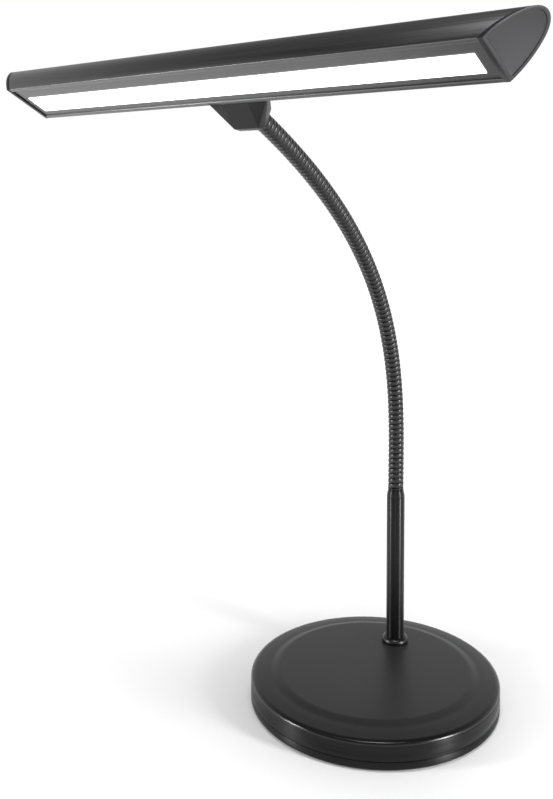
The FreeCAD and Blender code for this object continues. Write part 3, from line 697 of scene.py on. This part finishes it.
@dataclass
class Base:
    """The round weighted base.

    Attributes:
        radius: Outer radius.
        wall: Thickness of the cover.
        seam: Height of the top of the bottom plate's rim.
        seam_gap: Gap between plate and cover.
        edge_width: Width of the rounded edge.
        edge_rise: Rise of the rounded edge.
        shoulder_width: Width of the slope inside the edge.
        shoulder_rise: Rise of that slope.
        ring_width: Width of the almost flat ring.
        ring_rise: Rise of that ring.
        step_width: Width of the step to the table.
        step_rise: Rise of that step.
        edge_bevel: Bevel on sharp edges.
        lip_gap: Room between the plate's lip and the cover.
        lip_wall: Thickness of that lip.
        lip_rise: How far it stands above the seam.
        floor: Thickness of the plate.
        foot_bevel: Bevel round its foot.
        socket_front: How far the socket stands out of the base.
        socket_bore: Radius of its bore.
        socket_body: Radius of its body.
        socket_depth: Depth of its bore.
        socket_flange: Thickness of its flange.
        socket_bevel: Bevel on its flange and its pin.
        pin: Radius of its pin.
        pin_tip: How far the pin ends behind its front.
        steps: Points in each ring.
    """

    radius: float = 90.0 * MM
    wall: float = 1.6 * MM
    seam: float = 6.5 * MM
    seam_gap: float = 0.4 * MM
    edge_width: float = 3.5 * MM
    edge_rise: float = 2.5 * MM
    shoulder_width: float = 4.5 * MM
    shoulder_rise: float = 1.2 * MM
    ring_width: float = 5.0 * MM
    ring_rise: float = 0.3 * MM
    step_width: float = 8.5 * MM
    step_rise: float = 1.8 * MM
    edge_bevel: float = 0.25 * MM
    lip_gap: float = 0.15 * MM
    lip_wall: float = 1.6 * MM
    lip_rise: float = 2.0 * MM
    floor: float = 2.5 * MM
    foot_bevel: float = 0.9 * MM
    socket_front: float = 0.6 * MM
    socket_bore: float = 3.0 * MM
    socket_body: float = 3.6 * MM
    socket_depth: float = 10.0 * MM
    socket_flange: float = 1.3 * MM
    socket_bevel: float = 0.3 * MM
    pin: float = 1.0 * MM
    pin_tip: float = 1.6 * MM
    steps: int = 256

    def build(self) -> None:
        """Builds the cover, the plate and the power socket."""
        self.build_cover()
        self.build_plate()
        self.build_socket()

    def build_cover(self) -> None:
        """Builds the cover with its rounded edge and its raised round table."""
        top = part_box("base_cover")[1].z
        step_low = top - self.step_rise
        ring_low = step_low - self.ring_rise
        edge_top = ring_low - self.shoulder_rise
        side_top = edge_top - self.edge_rise
        edge = self.radius - self.edge_width
        shoulder = edge - self.shoulder_width
        ring = shoulder - self.ring_width
        step = ring - self.step_width
        outline = [(self.radius, self.seam + self.seam_gap), (self.radius, side_top)]
        outline += quarter(outline[-1], (edge, edge_top), 8, True)
        outline += [(shoulder, ring_low), (ring, step_low)]
        outline += [
            (ring - self.step_width * share, step_low + self.step_rise * (1 - math.cos(math.pi * share)) / 2)
            for share in CURVE_SHARES
        ]
        outline += [(step, top), (step * 0.5, top), (step * 0.1, top), (0, top)]
        cover = Form.turned("base_cover_skin", outline, self.steps)
        cover.modify("SOLIDIFY", thickness=self.wall, offset=-1)
        cover.subtract(self.socket_hole())
        cover.round_edges(self.edge_bevel, 2, 40)
        cover.smooth()
        cover.dress(BASE_PAINT, "base_cover")
        cover.dress_part(SHOULDER, lambda middle, facing: middle.xy.length > edge and facing.z > 0.1)
        cover.dress_part(RIM_PAINT, lambda middle, facing: middle.xy.length > edge and facing.z <= 0.1)
        cover.ride("base")

    def socket_frame(self) -> Matrix:
        """Finds the socket's mouth.

        Returns:
            Its place, with Z pointing out of it.
        """
        low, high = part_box("power_inlet")
        pole_low, pole_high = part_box("pole_tube")
        pole = (pole_low + pole_high) / 2
        out = Vector((pole.x, pole.y, 0)).normalized()
        height = (low.z + high.z) / 2
        turn = Vector((0, 0, 1)).rotation_difference(out).to_matrix().to_4x4()
        return Matrix.Translation(out * self.radius + Vector((0, 0, height))) @ turn

    def socket_hole(self) -> Form:
        """Makes the cutter for the socket's hole.

        Returns:
            The cutter.
        """
        low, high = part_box("power_inlet")
        radius = (high.z - low.z) / 2 - 0.1 * MM
        hole = Form.turned("socket_hole", [(radius, -4 * MM), (radius, 2 * MM)], 48, filled=True)
        hole.move(self.socket_frame())
        return hole

    def build_plate(self) -> None:
        """Builds the bottom plate with its rim and its upright lip."""
        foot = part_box("base_plate")[0].z
        lip_out = self.radius - self.wall - self.lip_gap
        lip_in = lip_out - self.lip_wall
        lip_top = self.seam + self.lip_rise
        outline = [(self.radius - self.foot_bevel, foot), (self.radius, foot + self.foot_bevel),
                   (self.radius, self.seam), (lip_out, self.seam), (lip_out, lip_top), (lip_in, lip_top),
                   (lip_in, foot + self.floor)]
        plate = Form.turned("base_plate_skin", outline, self.steps, filled=True)
        plate.round_edges(self.edge_bevel, 2)
        plate.smooth()
        plate.dress(RIM_PAINT, "base_plate")
        plate.ride("base")

    def build_socket(self) -> None:
        """Builds the power socket's flange, bore and pin."""
        low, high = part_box("power_inlet")
        flange, front, bevel = (high.z - low.z) / 2, self.socket_front, self.socket_bevel
        back, floor, tip = front - self.socket_flange, front - self.socket_depth, front - self.pin_tip
        outline = [(flange, back), (flange, front - bevel), (flange - bevel, front), (self.socket_bore, front),
                   (self.socket_bore, floor), (self.socket_body, floor), (self.socket_body, back)]
        socket = Form.turned("power_socket", outline, 64, closed=True)
        socket.smooth()
        socket.move(self.socket_frame())
        socket.dress(SOCKET_PLASTIC, "power_inlet")
        socket.ride("base")
        cap = self.socket_bore + 0.05 * MM
        outline = [(cap, floor - 0.5 * MM), (cap, floor), (self.pin, floor), (self.pin, tip - bevel),
                   (self.pin - bevel, tip)]
        pin = Form.turned("power_socket_pin", outline, 32, filled=True)
        pin.smooth()
        pin.move(self.socket_frame())
        pin.dress(NICKEL)
        pin.ride("base")


@dataclass
class Pole:
    """The short pole with its collar and the tapered ferrule.

    Attributes:
        radius: Outer radius of the pole.
        bore: Radius of its bore.
        steps: Points in each ring.
    """

    radius: float = 6.8 * MM
    bore: float = 5.0 * MM
    steps: int = 96

    def build(self) -> None:
        """Builds the collar, the tube and the ferrule."""
        low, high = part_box("pole_tube")
        self.place = Matrix.Translation(((low.x + high.x) / 2, (low.y + high.y) / 2, 0))
        self.foot, self.top = low.z, high.z
        self.build_collar()
        self.build_tube()
        self.build_ferrule()

    def finish(self, form: Form, finish: Finish, node: str) -> None:
        """Puts a turned form on the pole's axis and dresses it.

        Args:
            form: The form, made about Z.
            finish: Its finish.
            node: The node that it stands for.
        """
        form.smooth(32)
        form.move(self.place)
        form.dress(finish, node)
        form.ride("base")

    def build_collar(self) -> None:
        """Builds the flared collar."""
        low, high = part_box("pole_collar")
        rise = high.z - low.z
        widest = (high.x - low.x) / 2
        inner = self.radius + 0.05 * MM
        outline = [(inner, low.z), (widest - 0.8 * MM, low.z), (widest - 0.2 * MM, low.z + 0.12 * rise),
                   (widest, low.z + 0.3 * rise)]
        outline += quarter(outline[-1], (inner + 0.5 * MM, high.z), 10, True)
        outline += [(inner, high.z)]
        self.finish(Form.turned("pole_collar_skin", outline, self.steps, closed=True), NECK_BLACK, "pole_collar")

    def build_tube(self) -> None:
        """Builds the pole's tube."""
        outline = [(self.bore, self.foot), (self.radius, self.foot), (self.radius, self.top), (self.bore, self.top)]
        tube = Form.turned("pole_tube_skin", outline, self.steps, closed=True)
        tube.round_edges(0.2 * MM, 2)
        self.finish(tube, GLOSS_BLACK, "pole_tube")

    def build_ferrule(self) -> None:
        """Builds the tapered ferrule with two fine grooves below its top ring."""
        low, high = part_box("neck_ferrule")
        nose = 5.9 * MM
        bore = 3.2 * MM
        groove = 0.45 * MM
        outline = [(bore, low.z), (self.bore - 0.05 * MM, low.z), (self.bore - 0.05 * MM, self.top),
                   (self.radius - 0.15 * MM, self.top), (self.radius, self.top + 0.15 * MM)]
        taper_end = high.z - 2.3 * MM
        rise = taper_end - self.top
        outline += [
            (self.radius - (self.radius - nose) * share ** 1.6, self.top + rise * (0.1 + 0.9 * share))
            for share in (*CURVE_SHARES, 1.0)
        ]
        for level in (taper_end, taper_end + 1.1 * MM):
            outline += [(nose - groove, level + 0.08 * MM), (nose - groove, level + 0.37 * MM),
                        (nose, level + 0.45 * MM), (nose, level + 0.95 * MM)]
        outline += [(nose - 0.3 * MM, high.z), (bore, high.z)]
        self.finish(Form.turned("neck_ferrule_skin", outline, self.steps, closed=True), GLOSS_BLACK, "neck_ferrule")


@dataclass
class Gooseneck:
    """The ribbed neck: one helix, cut into one piece about each of the neck's joints, each bent along one centre
    line.

    Attributes:
        crest: Radius over the ribs.
        valley: Radius between the ribs.
        ribs: How many ribs the neck has.
        wall: Thickness of its wall.
        round_steps: Points round the neck.
        rise_pull: How strongly the curve leaves the pole straight up.
        head_pull: How strongly it runs straight into the bracket.
        blend_reach: How far from a joint the bend spreads.
        foot_overlap: How far the neck reaches into the ferrule.
        head_overlap: How far it reaches into the bracket.
        samples: How many points its centre line is measured at.
        sight: How many of them to each side give its direction.
    """

    crest: float = 5.95 * MM
    valley: float = 5.3 * MM
    ribs: int = 90
    wall: float = 0.8 * MM
    round_steps: int = 36
    rise_pull: float = 70.0 * MM
    head_pull: float = 209.0 * MM
    blend_reach: float = 15.0 * MM
    foot_overlap: float = 1.2 * MM
    head_overlap: float = 1.5 * MM
    samples: int = 600
    sight: int = 3

    def build(self, into_head: Vector) -> None:
        """Builds all the pieces of the neck.

        Args:
            into_head: Direction in which the neck enters the bracket.
        """
        hinges = [joint for joint in frame["joints"] if joint["type"] == "hinge"]
        chain = self.in_order(hinges)
        places = [Vector(joint["pos_m"]) for joint in chain]
        foot, end = places[0], places[-1]
        handles = (foot + Vector((0, 0, self.rise_pull)), end - into_head * self.head_pull)
        path = self.centreline(foot, handles, end)
        dense = interpolate_bezier(foot, handles[0], handles[1], end, self.samples)
        length = sum((after - before).length for before, after in zip(dense, dense[1:]))
        tube = self.straight_tube(length)
        links = len(chain) - 1
        share = length / links
        for index, joint in enumerate(chain):
            low = (index - 0.5) * share if index else -self.foot_overlap
            high = (index + 0.5) * share if index < links else length + self.head_overlap
            piece = self.piece(tube, "neck_skin_%02d" % (index + 1), low, high)
            piece.modify("SOLIDIFY", thickness=self.wall, offset=-1)
            piece.modify("CURVE", object=path, deform_axis="POS_Z")
            piece.smooth(50)
            piece.dress(NECK_BLACK, *([] if index == 0 else ["neck_length_%02d" % index]))
            middle = self.samples * index // links
            before, after = max(0, middle - self.sight), min(self.samples - 1, middle + self.sight)
            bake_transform(piece.object)
            log.info("%s bends between %s and %s, %d faces", piece.object.name, joint["parent"], joint["child"],
                     len(piece.object.data.polygons))
        bpy.data.objects.remove(tube.object)
        bpy.data.objects.remove(path)

    def in_order(self, hinges: list[dict[str, Any]]) -> list[dict[str, Any]]:
        """Puts the neck's joints in order from the base to the head.

        Args:
            hinges: The joints in any order.

        Returns:
            The joints in order.
        """
        by_parent = {joint["parent"]: joint for joint in hinges}
        chain = [by_parent["base"]]
        while chain[-1]["child"] in by_parent:
            chain.append(by_parent[chain[-1]["child"]])
        return chain

    def centreline(self, foot: Vector, handles: tuple[Vector, Vector], end: Vector) -> bpy.types.Object:
        """Makes the curve that the neck follows.

        Args:
            foot: Where it starts.
            handles: The two handles that shape it.
            end: Where it ends.

        Returns:
            The curve's object.
        """
        Form.clear_selection()
        bpy.ops.curve.primitive_bezier_curve_add(location=(0, 0, 0))
        path = bpy.context.active_object
        path.data.dimensions = "3D"
        path.data.twist_mode = "MINIMUM"
        spline = path.data.splines[0]
        spline.resolution_u = 256
        first, last = spline.bezier_points
        for point in (first, last):
            point.handle_left_type = "FREE"
            point.handle_right_type = "FREE"
        first.co, first.handle_right = foot, handles[0]
        first.handle_left = foot * 2 - handles[0]
        last.co, last.handle_left = end, handles[1]
        last.handle_right = end * 2 - handles[1]
        return path

    def straight_tube(self, length: float) -> Form:
        """Winds one rounded rib into the whole straight neck.

        Args:
            length: Length of the neck.

        Returns:
            The straight neck along Z.
        """
        pitch = length / self.ribs
        Form.clear_selection()
        bpy.ops.mesh.primitive_circle_add(vertices=16, radius=1, rotation=(math.pi / 2, 0, 0))
        rib = Form("neck_rib")
        rib.pick_points(lambda point: point.x < -0.001)
        with rib.editing():
            bpy.ops.mesh.delete(type="VERT")
            bpy.ops.mesh.select_all(action="SELECT")
            bpy.ops.transform.resize(value=(self.crest - self.valley, 1, pitch / 2), center_override=(0, 0, 0))
            bpy.ops.transform.translate(value=(self.valley, 0, -2 * pitch))
        rib.modify("SCREW", angle=math.tau, screw_offset=pitch, iterations=self.ribs + 4, axis="Z",
                   steps=self.round_steps, render_steps=self.round_steps)
        rib.tidy()
        rib.face_away(lambda middle, facing: facing.x * middle.x + facing.y * middle.y > 0)
        return rib

    def piece(self, tube: Form, name: str, low: float, high: float) -> Form:
        """Copies a stretch of the straight neck.

        Args:
            tube: The straight neck.
            name: The piece's name.
            low: Where it starts.
            high: Where it ends.

        Returns:
            The piece, still straight.
        """
        tube.activate()
        bpy.ops.object.duplicate()
        piece = Form(name)
        piece.cut(Vector((0, 0, low)), Vector((0, 0, -1)), fill=False)
        piece.cut(Vector((0, 0, high)), Vector((0, 0, 1)), fill=False)
        return piece


@dataclass(frozen=True)
class Bracket:
    """Sizes of the bracket, measured from the middle of the shade's opening.

    Attributes:
        root: Where it starts, inside the crown.
        reach: How far back it reaches.
        corner: Where its underside is lowest.
        drop: How far that is below the opening.
        heel: How far its back edge is below the opening.
        top: Height of its top.
        bevel: Size of the slope at the top's back edge.
        mouth: How far the front slope passes in front of the shade's back edge.
        half: Half the width of the block.
        flare: How far each cheek reaches beyond the block.
        cheek_stand: How far a cheek's end stands behind the shade.
        cheek_edge: Size of the slopes at that end.
        cheek_low: Height of a cheek's underside.
        cheek_shoulder: Height where the slope to its top starts.
        cheek_top: Height of its top.
    """

    root: float = 11.0 * MM
    reach: float = 40.0 * MM
    corner: float = 34.5 * MM
    drop: float = 7.5 * MM
    heel: float = 5.5 * MM
    top: float = 13.0 * MM
    bevel: float = 4.0 * MM
    mouth: float = 0.2 * MM
    half: float = 9.3 * MM
    flare: float = 12.6 * MM
    cheek_stand: float = 2.2 * MM
    cheek_edge: float = 0.8 * MM
    cheek_low: float = 2.2 * MM
    cheek_shoulder: float = 6.2 * MM
    cheek_top: float = 8.0 * MM


@dataclass
class Shade:
    """The long D-shaped shade with its ends, bracket and switch.

    Attributes:
        tilt: How far the opening leans, in degrees.
        half_width: Half the width of the opening.
        height: Height of the crown.
        top_radius: Radius of the crown's top.
        length: Length of the opening.
        spread: How much farther the crown reaches than the opening, at each end.
        wall: Thickness of the shell.
        lip: Width of the lips beside the opening.
        end_thickness: Thickness of the end plates.
        end_rim: Width of their rims.
        end_recess: Depth of their field.
        switch_angle: How far the switch stands behind the crown's top, in degrees.
        bracket: Sizes of the bracket.
    """

    tilt: float = 27.0
    half_width: float = 18.4 * MM
    height: float = 25.0 * MM
    top_radius: float = 14.8 * MM
    length: float = 340.3 * MM
    spread: float = 20.6 * MM
    wall: float = 1.4 * MM
    lip: float = 3.0 * MM
    end_thickness: float = 2.2 * MM
    end_rim: float = 2.0 * MM
    end_recess: float = 0.6 * MM
    switch_angle: float = 28.0
    bracket: Bracket = Bracket()

    def __post_init__(self) -> None:
        """Works out the shade's place from its node, and its side arcs."""
        low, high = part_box("shade_shell")
        lean = math.radians(self.tilt)
        centre = Vector(((low.x + high.x) / 2, low.y + self.half_width * math.cos(lean),
                         low.z + self.half_width * math.sin(lean)))
        self.place = Matrix.Translation(centre) @ Matrix.Rotation(-lean, 4, "X")
        self.into_head = self.place.to_3x3() @ Vector((0, -1, 0))
        rise = self.height - self.top_radius
        spare = self.half_width - self.top_radius
        self.side_radius = (self.half_width ** 2 + rise ** 2 - self.top_radius ** 2) / (2 * spare)
        self.side_centre = self.half_width - self.side_radius
        self.join_angle = math.atan2(rise, -self.side_centre)
        self.slope = self.spread / self.height

    def build(self) -> None:
        """Builds the shell, the ends, the bracket and the switch."""
        self.build_shell()
        for side, name in ((-1, "left"), (1, "right")):
            self.build_end(side, name)
        self.build_bracket()
        self.build_switch()

    def finish(self, form: Form, finish: Finish, body: str, *nodes: str) -> None:
        """Tilts a form into its place and dresses it.

        Args:
            form: The form, made with the opening level and its middle at the origin.
            finish: Its finish.
            body: The body that it rides on.
            nodes: The nodes that it stands for.
        """
        form.move(self.place)
        form.dress(finish, *nodes)
        form.ride(body)

    def crown(self, form: Form) -> None:
        """Sweeps the selected edge from the back lip over the crown to the front lip.

        Args:
            form: Not used; the sweep acts on the form in edit mode, with the edge at the back lip selected.
        """
        top_sweep = math.pi - 2 * self.join_angle
        sweeps = (
            ((0, self.side_centre, 0), self.join_angle, 8),
            ((0, 0, self.height - self.top_radius), top_sweep, 24),
            ((0, -self.side_centre, 0), self.join_angle, 8),
        )
        for centre, angle, steps in sweeps:
            bpy.ops.mesh.spin(steps=steps, angle=angle, center=centre, axis=(-1, 0, 0))

    def end_cuts(self, form: Form, inset: float, side: int = 0) -> None:
        """Cuts a long form at the slanted ends.

        Args:
            form: The form.
            inset: How far inside the shade's ends to cut, square to them.
            side: -1 or 1 for one end only, 0 for both.
        """
        shift = inset * math.sqrt(1 + self.slope ** 2)
        for end in (-1, 1):
            if side in (0, end):
                point = Vector((end * (self.length / 2 - shift), 0, 0))
                form.cut(point, Vector((end, 0, -self.slope)))

    def long_strip(self, name: str, near: float, far: float) -> Form:
        """Adds a flat strip along the shade in the plane of the opening.

        Args:
            name: The form's name.
            near: Its front edge.
            far: Its back edge.

        Returns:
            The strip.
        """
        Form.clear_selection()
        reach = self.length + 4 * self.spread
        bpy.ops.mesh.primitive_plane_add(size=1, location=(0, (near + far) / 2, 0))
        bpy.context.active_object.scale = (reach, far - near, 1)
        return Form(name)

    def build_shell(self) -> None:
        """Builds the shell with its in-turned lips."""
        shell = self.long_strip("shade_shell_skin", self.half_width - self.lip, self.half_width)
        edge = self.half_width
        shell.pick_points(lambda point: abs(point.y - edge) < 0.01 * MM)
        with shell.editing():
            self.crown(shell)
            bpy.ops.mesh.extrude_region_move(TRANSFORM_OT_translate={"value": (0, self.lip, 0)})
        shell.tidy()
        shell.modify("SOLIDIFY", thickness=self.wall, offset=-1)
        self.end_cuts(shell, self.end_thickness + 0.05 * MM)
        shell.round_edges(0.3 * MM, 3, 40)
        shell.smooth()
        self.finish(shell, SHADE_METAL, "head", "shade_shell")

    def build_end(self, side: int, name: str) -> None:
        """Builds one slanted end plate with a raised rim.

        Args:
            side: -1 for the left end, 1 for the right.
            name: The end's name.
        """
        plate = self.d_bar("shade_end_%s_skin" % name)
        self.end_cuts(plate, 0, side)
        shift = self.end_thickness * math.sqrt(1 + self.slope ** 2)
        inner = Vector((side * (self.length / 2 - shift), 0, 0))
        plate.cut(inner, Vector((-side, 0, self.slope)))
        plate.tidy()
        plate.pick_faces(lambda middle, facing: facing.x * side > 0.5)
        with plate.editing():
            bpy.ops.mesh.inset(thickness=self.end_rim, depth=0)
            bpy.ops.mesh.inset(thickness=0.15 * MM, depth=-self.end_recess)
        plate.round_edges(0.22 * MM, 2, 40)
        plate.smooth()
        # The end plate's darker colour is painted shade.
        self.finish(plate, SHADED_END_METAL, "head", "shade_end_" + name)

    def d_bar(self, name: str) -> Form:
        """Makes a solid bar with the shade's outer section, longer than the shade.

        Args:
            name: The form's name.

        Returns:
            The bar, open at both ends.
        """
        bar = self.long_strip(name, -self.half_width, self.half_width)
        edge = self.half_width
        bar.pick_points(lambda point: abs(point.y - edge) < 0.01 * MM)
        with bar.editing():
            self.crown(bar)
        bar.tidy()
        return bar

    def build_bracket(self) -> None:
        """Builds the wedge block with flared cheeks that holds the neck."""
        size = self.bracket
        slope = size.drop / (size.corner - self.half_width + size.mouth)
        front = slope * (size.corner - size.root) - size.drop
        nose, low, heel = (size.root, front), (size.corner, -size.drop), (size.reach, -size.heel)
        back, crest = (size.reach, size.top - size.bevel), (size.reach - size.bevel, size.top)
        block = Form.block("head_bracket_skin", Vector((-size.half, size.root, -size.drop)),
                           Vector((size.half, size.reach, size.top)))
        for (y0, z0), (y1, z1) in ((nose, low), (low, heel), (back, crest)):
            block.cut(Vector((0, y0, z0)), Vector((0, z1 - z0, y0 - y1)))
        block.tidy()
        end = self.half_width + size.cheek_stand
        moves = (
            (nose, (size.root, size.cheek_low)),
            (low, (end - size.cheek_edge, size.cheek_low)),
            (heel, (end, size.cheek_low + size.cheek_edge)),
            (back, (end, size.cheek_shoulder)),
            (crest, (end - size.cheek_edge, size.cheek_top)),
            ((size.root, size.top), (size.root, size.cheek_top)),
        )
        for side in (-1, 1):
            block.pick_faces(lambda middle, facing: facing.x * side > 0.9)
            with block.editing():
                bpy.ops.mesh.extrude_region_move(TRANSFORM_OT_translate={"value": (side * size.flare, 0, 0)})
            across = side * (size.half + size.flare)
            for before, after in moves:
                block.shift_corner(Vector((across, *before)), Vector((across, *after)))
        block.tidy()
        bar = self.d_bar("crown_cutter")
        self.end_cuts(bar, 0)
        block.subtract(bar)
        block.tidy()
        block.round_edges(0.45 * MM, 3, 24)
        block.mark_sharp(lambda one, two: abs(abs(one.x) - size.half) < 0.1 * MM and abs(one.x - two.x) < 0.1 * MM)
        block.smooth()
        self.finish(block, BRACKET_BLACK, "head", "head_bracket")

    def build_switch(self) -> None:
        """Builds the switch's ring and its button."""
        angle = math.radians(self.switch_angle)
        outward = Vector((0, math.sin(angle), math.cos(angle)))
        spot = Vector((0, 0, self.height - self.top_radius)) + outward * self.top_radius
        turn = Matrix.Rotation(-angle, 4, "X")
        place = Matrix.Translation(spot) @ turn
        ring = [(4.2, -1.3), (6.0, -1.3), (6.0, 0.9), (5.6, 1.3), (4.2, 1.3)]
        bezel = Form.turned("switch_bezel_skin", [(r * MM, z * MM) for r, z in ring], 64, closed=True)
        bezel.smooth()
        bezel.move(place)
        self.finish(bezel, NICKEL, "head", "switch_bezel")
        profile = [(3.3, -3.5), (3.3, 2.9), (3.1, 3.25), (2.7, 3.5)]
        button = Form.turned("switch_button_skin", [(r * MM, z * MM) for r, z in profile], 48, filled=True)
        button.smooth(40)
        button.move(place)
        self.finish(button, BUTTON_PLASTIC, "button", "switch_button")


@dataclass
class Carried:
    """The nodes that are shown as they are, with their finishes."""

    finishes: dict[str, Finish] = field(default_factory=lambda: {
        "base_weight": IRON, "foot_pad": FOAM, "base_screws": ZINC, "inlet_nut": NICKEL, "base_lead": LEAD_JACKET,
        "pole_nipple": NICKEL, "pole_washer": ZINC, "pole_nut": ZINC, "reflector_plate": REFLECTOR,
        "led_diffuser": OPAL, "led_carrier": MILL_ALUMINIUM, "led_board": WHITE_BOARD, "led_chips": PHOSPHOR,
        "driver_board": GREEN_BOARD, "driver_parts": COMPONENTS, "head_lead": LEAD_JACKET, "bracket_screws": ZINC,
        "neck_top_stud": NICKEL, "switch_body": SOCKET_PLASTIC, "switch_lead": LEAD_JACKET,
    })

    def dress(self) -> None:
        """Gives every node its finish."""
        for name, node in frame["nodes"].items():
            finish = self.finishes.get(name, LEAD_JACKET if name.startswith("neck_lead") else BASE_PAINT)
            node.data.materials.clear()
            node.data.materials.append(finish.material())


@dataclass
class Studio:
    """Floor, light and camera.

    Attributes:
        camera_place: Where the camera stands.
        camera_turn: How it is turned, in degrees.
        lens: Its focal length in millimetres.
        shift: How far the picture is shifted down.
        sky_light: Strength of the sky as a light.
        zenith: How bright the sky is overhead in reflections.
        room: How bright the room behind the camera is in reflections.
        aim: Where the softboxes point.
        lamp_distance: How far they stand from there.
        glow_near: The floor's own glow near the lamp.
        glow_far: The floor's own glow far from it.
        glow_span: Where that glow starts and stops growing.
        floor_grey: The floor's colour.
        overhead_span: Height of a mirror ray where the sky starts and stops dimming.
        backdrop_span: How far ahead a mirror ray runs where the sky starts and stops to be white.
    """

    camera_place: Triple = (0.3388, -0.5742, 0.3662)
    camera_turn: Triple = (87.553, 0.0, 36.694)
    lens: float = 41.59
    shift: float = -0.2033
    sky_light: float = 0.455
    zenith: float = 0.08
    room: float = 0.5
    aim: Triple = (0.0, -0.06, 0.2)
    lamp_distance: float = 1.3
    glow_near: float = 0.06
    glow_far: float = 0.8
    glow_span: Spot = (0.1, 1.0)
    floor_grey: float = 0.86
    overhead_span: Spot = (0.15, 0.95)
    backdrop_span: Spot = (-0.3, 0.3)

    def build(self) -> None:
        """Builds the floor, the sky, the lamps and the camera."""
        self.build_floor()
        self.build_world()
        self.build_lamps()
        self.build_camera()

    def build_floor(self) -> None:
        """Builds a pale floor that keeps the lamp's shadow and glows to white farther out."""
        Form.clear_selection()
        bpy.ops.mesh.primitive_plane_add(size=24, location=(0, 0, -0.0002))
        floor = Form("floor")
        paint = Paint(bpy.data.materials.new("pale floor"))
        pale = (self.floor_grey, self.floor_grey, self.floor_grey, 1)
        plain = paint.node("ShaderNodeBsdfDiffuse", {}, {"Color": pale})
        distance = paint.node("ShaderNodeVectorMath", {"operation": "LENGTH"}, {0: paint.place()}, "Value")
        glow = paint.ramp(distance, self.glow_span, (self.glow_near, self.glow_far), "LINEAR")
        light = paint.node("ShaderNodeEmission", {}, {"Color": (1, 1, 1, 1), "Strength": glow})
        both = paint.node("ShaderNodeAddShader", {}, {0: plain, 1: light})
        seen = paint.rays("Is Camera Ray", "Is Glossy Ray", "Is Transmission Ray")
        paint.end_with(paint.node("ShaderNodeMixShader", {}, {0: seen, 1: plain, 2: both}))
        floor.object.data.materials.append(paint.owner)

    def build_world(self) -> None:
        """Builds a sky that is white to the eye and softer as a light.

        Reflections see it white beyond the lamp only, and dimmer overhead and behind the camera.
        """
        paint = Paint(bpy.data.worlds.new("studio"))
        bpy.context.scene.world = paint.owner
        seen = paint.rays("Is Camera Ray")
        mirrored = paint.rays("Is Glossy Ray", "Is Transmission Ray")
        direction = paint.node("ShaderNodeTexCoord", {}, {}, "Generated")
        height = paint.node("ShaderNodeSeparateXYZ", {}, {"Vector": direction}, "Z")
        overhead = paint.ramp(height, self.overhead_span, (1.0, self.zenith))
        turn = math.radians(self.camera_turn[2])
        onward = (-math.sin(turn), math.cos(turn), 0)
        ahead = paint.node("ShaderNodeVectorMath", {"operation": "DOT_PRODUCT"}, {0: direction, 1: onward}, "Value")
        backdrop = paint.ramp(ahead, self.backdrop_span, (self.room, 1.0))
        strength = seen + mirrored * overhead * backdrop + (1.0 - seen - mirrored) * self.sky_light
        white = paint.node("ShaderNodeBackground", {}, {"Color": (1, 1, 1, 1), "Strength": strength})
        paint.end_with(white, "ShaderNodeOutputWorld")

    def add_lamp(self, name: str, azimuth: float, elevation: float, size: Spot, power: float) -> None:
        """Adds one softbox that points at the middle of the lamp.

        Args:
            name: The softbox's name.
            azimuth: Its direction round Z in degrees, 0 at -Y and 90 at +X.
            elevation: Its height above the horizon in degrees.
            size: Its width and height.
            power: Its power in watts.
        """
        across, up = math.radians(azimuth), math.radians(elevation)
        away = Vector((math.sin(across) * math.cos(up), -math.cos(across) * math.cos(up), math.sin(up)))
        Form.clear_selection()
        bpy.ops.object.light_add(type="AREA", location=Vector(self.aim) + away * self.lamp_distance)
        lamp = bpy.context.active_object
        lamp.name = name
        lamp.rotation_euler = away.to_track_quat("Z", "Y").to_euler()
        lamp.data.shape = "RECTANGLE"
        lamp.data.size, lamp.data.size_y = size
        lamp.data.energy = power

    def build_lamps(self) -> None:
        """Adds the softboxes at both sides and overhead."""
        self.add_lamp("right_softbox", 94, 8, (0.2, 0.7), 18)
        self.add_lamp("left_softbox", -43, 8, (0.18, 0.7), 11.7)
        self.add_lamp("top_softbox", 38, 74, (0.36, 0.24), 6.5)

    def build_camera(self) -> None:
        """Adds the camera."""
        Form.clear_selection()
        bpy.ops.object.camera_add(location=self.camera_place)
        camera = bpy.context.active_object
        camera.rotation_euler = [math.radians(angle) for angle in self.camera_turn]
        camera.data.lens = self.lens
        camera.data.shift_y = self.shift
        camera.data.clip_start = 0.01
        camera.data.clip_end = 50
        bpy.context.scene.camera = camera


def main() -> None:
    """Builds the lamp and its studio."""
    logging.basicConfig(level=logging.INFO, format="%(message)s")
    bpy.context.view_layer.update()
    bpy.context.scene.view_settings.view_transform = "Standard"
    Carried().dress()
    Base().build()
    Pole().build()
    shade = Shade()
    Gooseneck().build(shade.into_head)
    shade.build()
    Studio().build()
    Form.clear_selection()


if __name__ == "__main__":
    main()
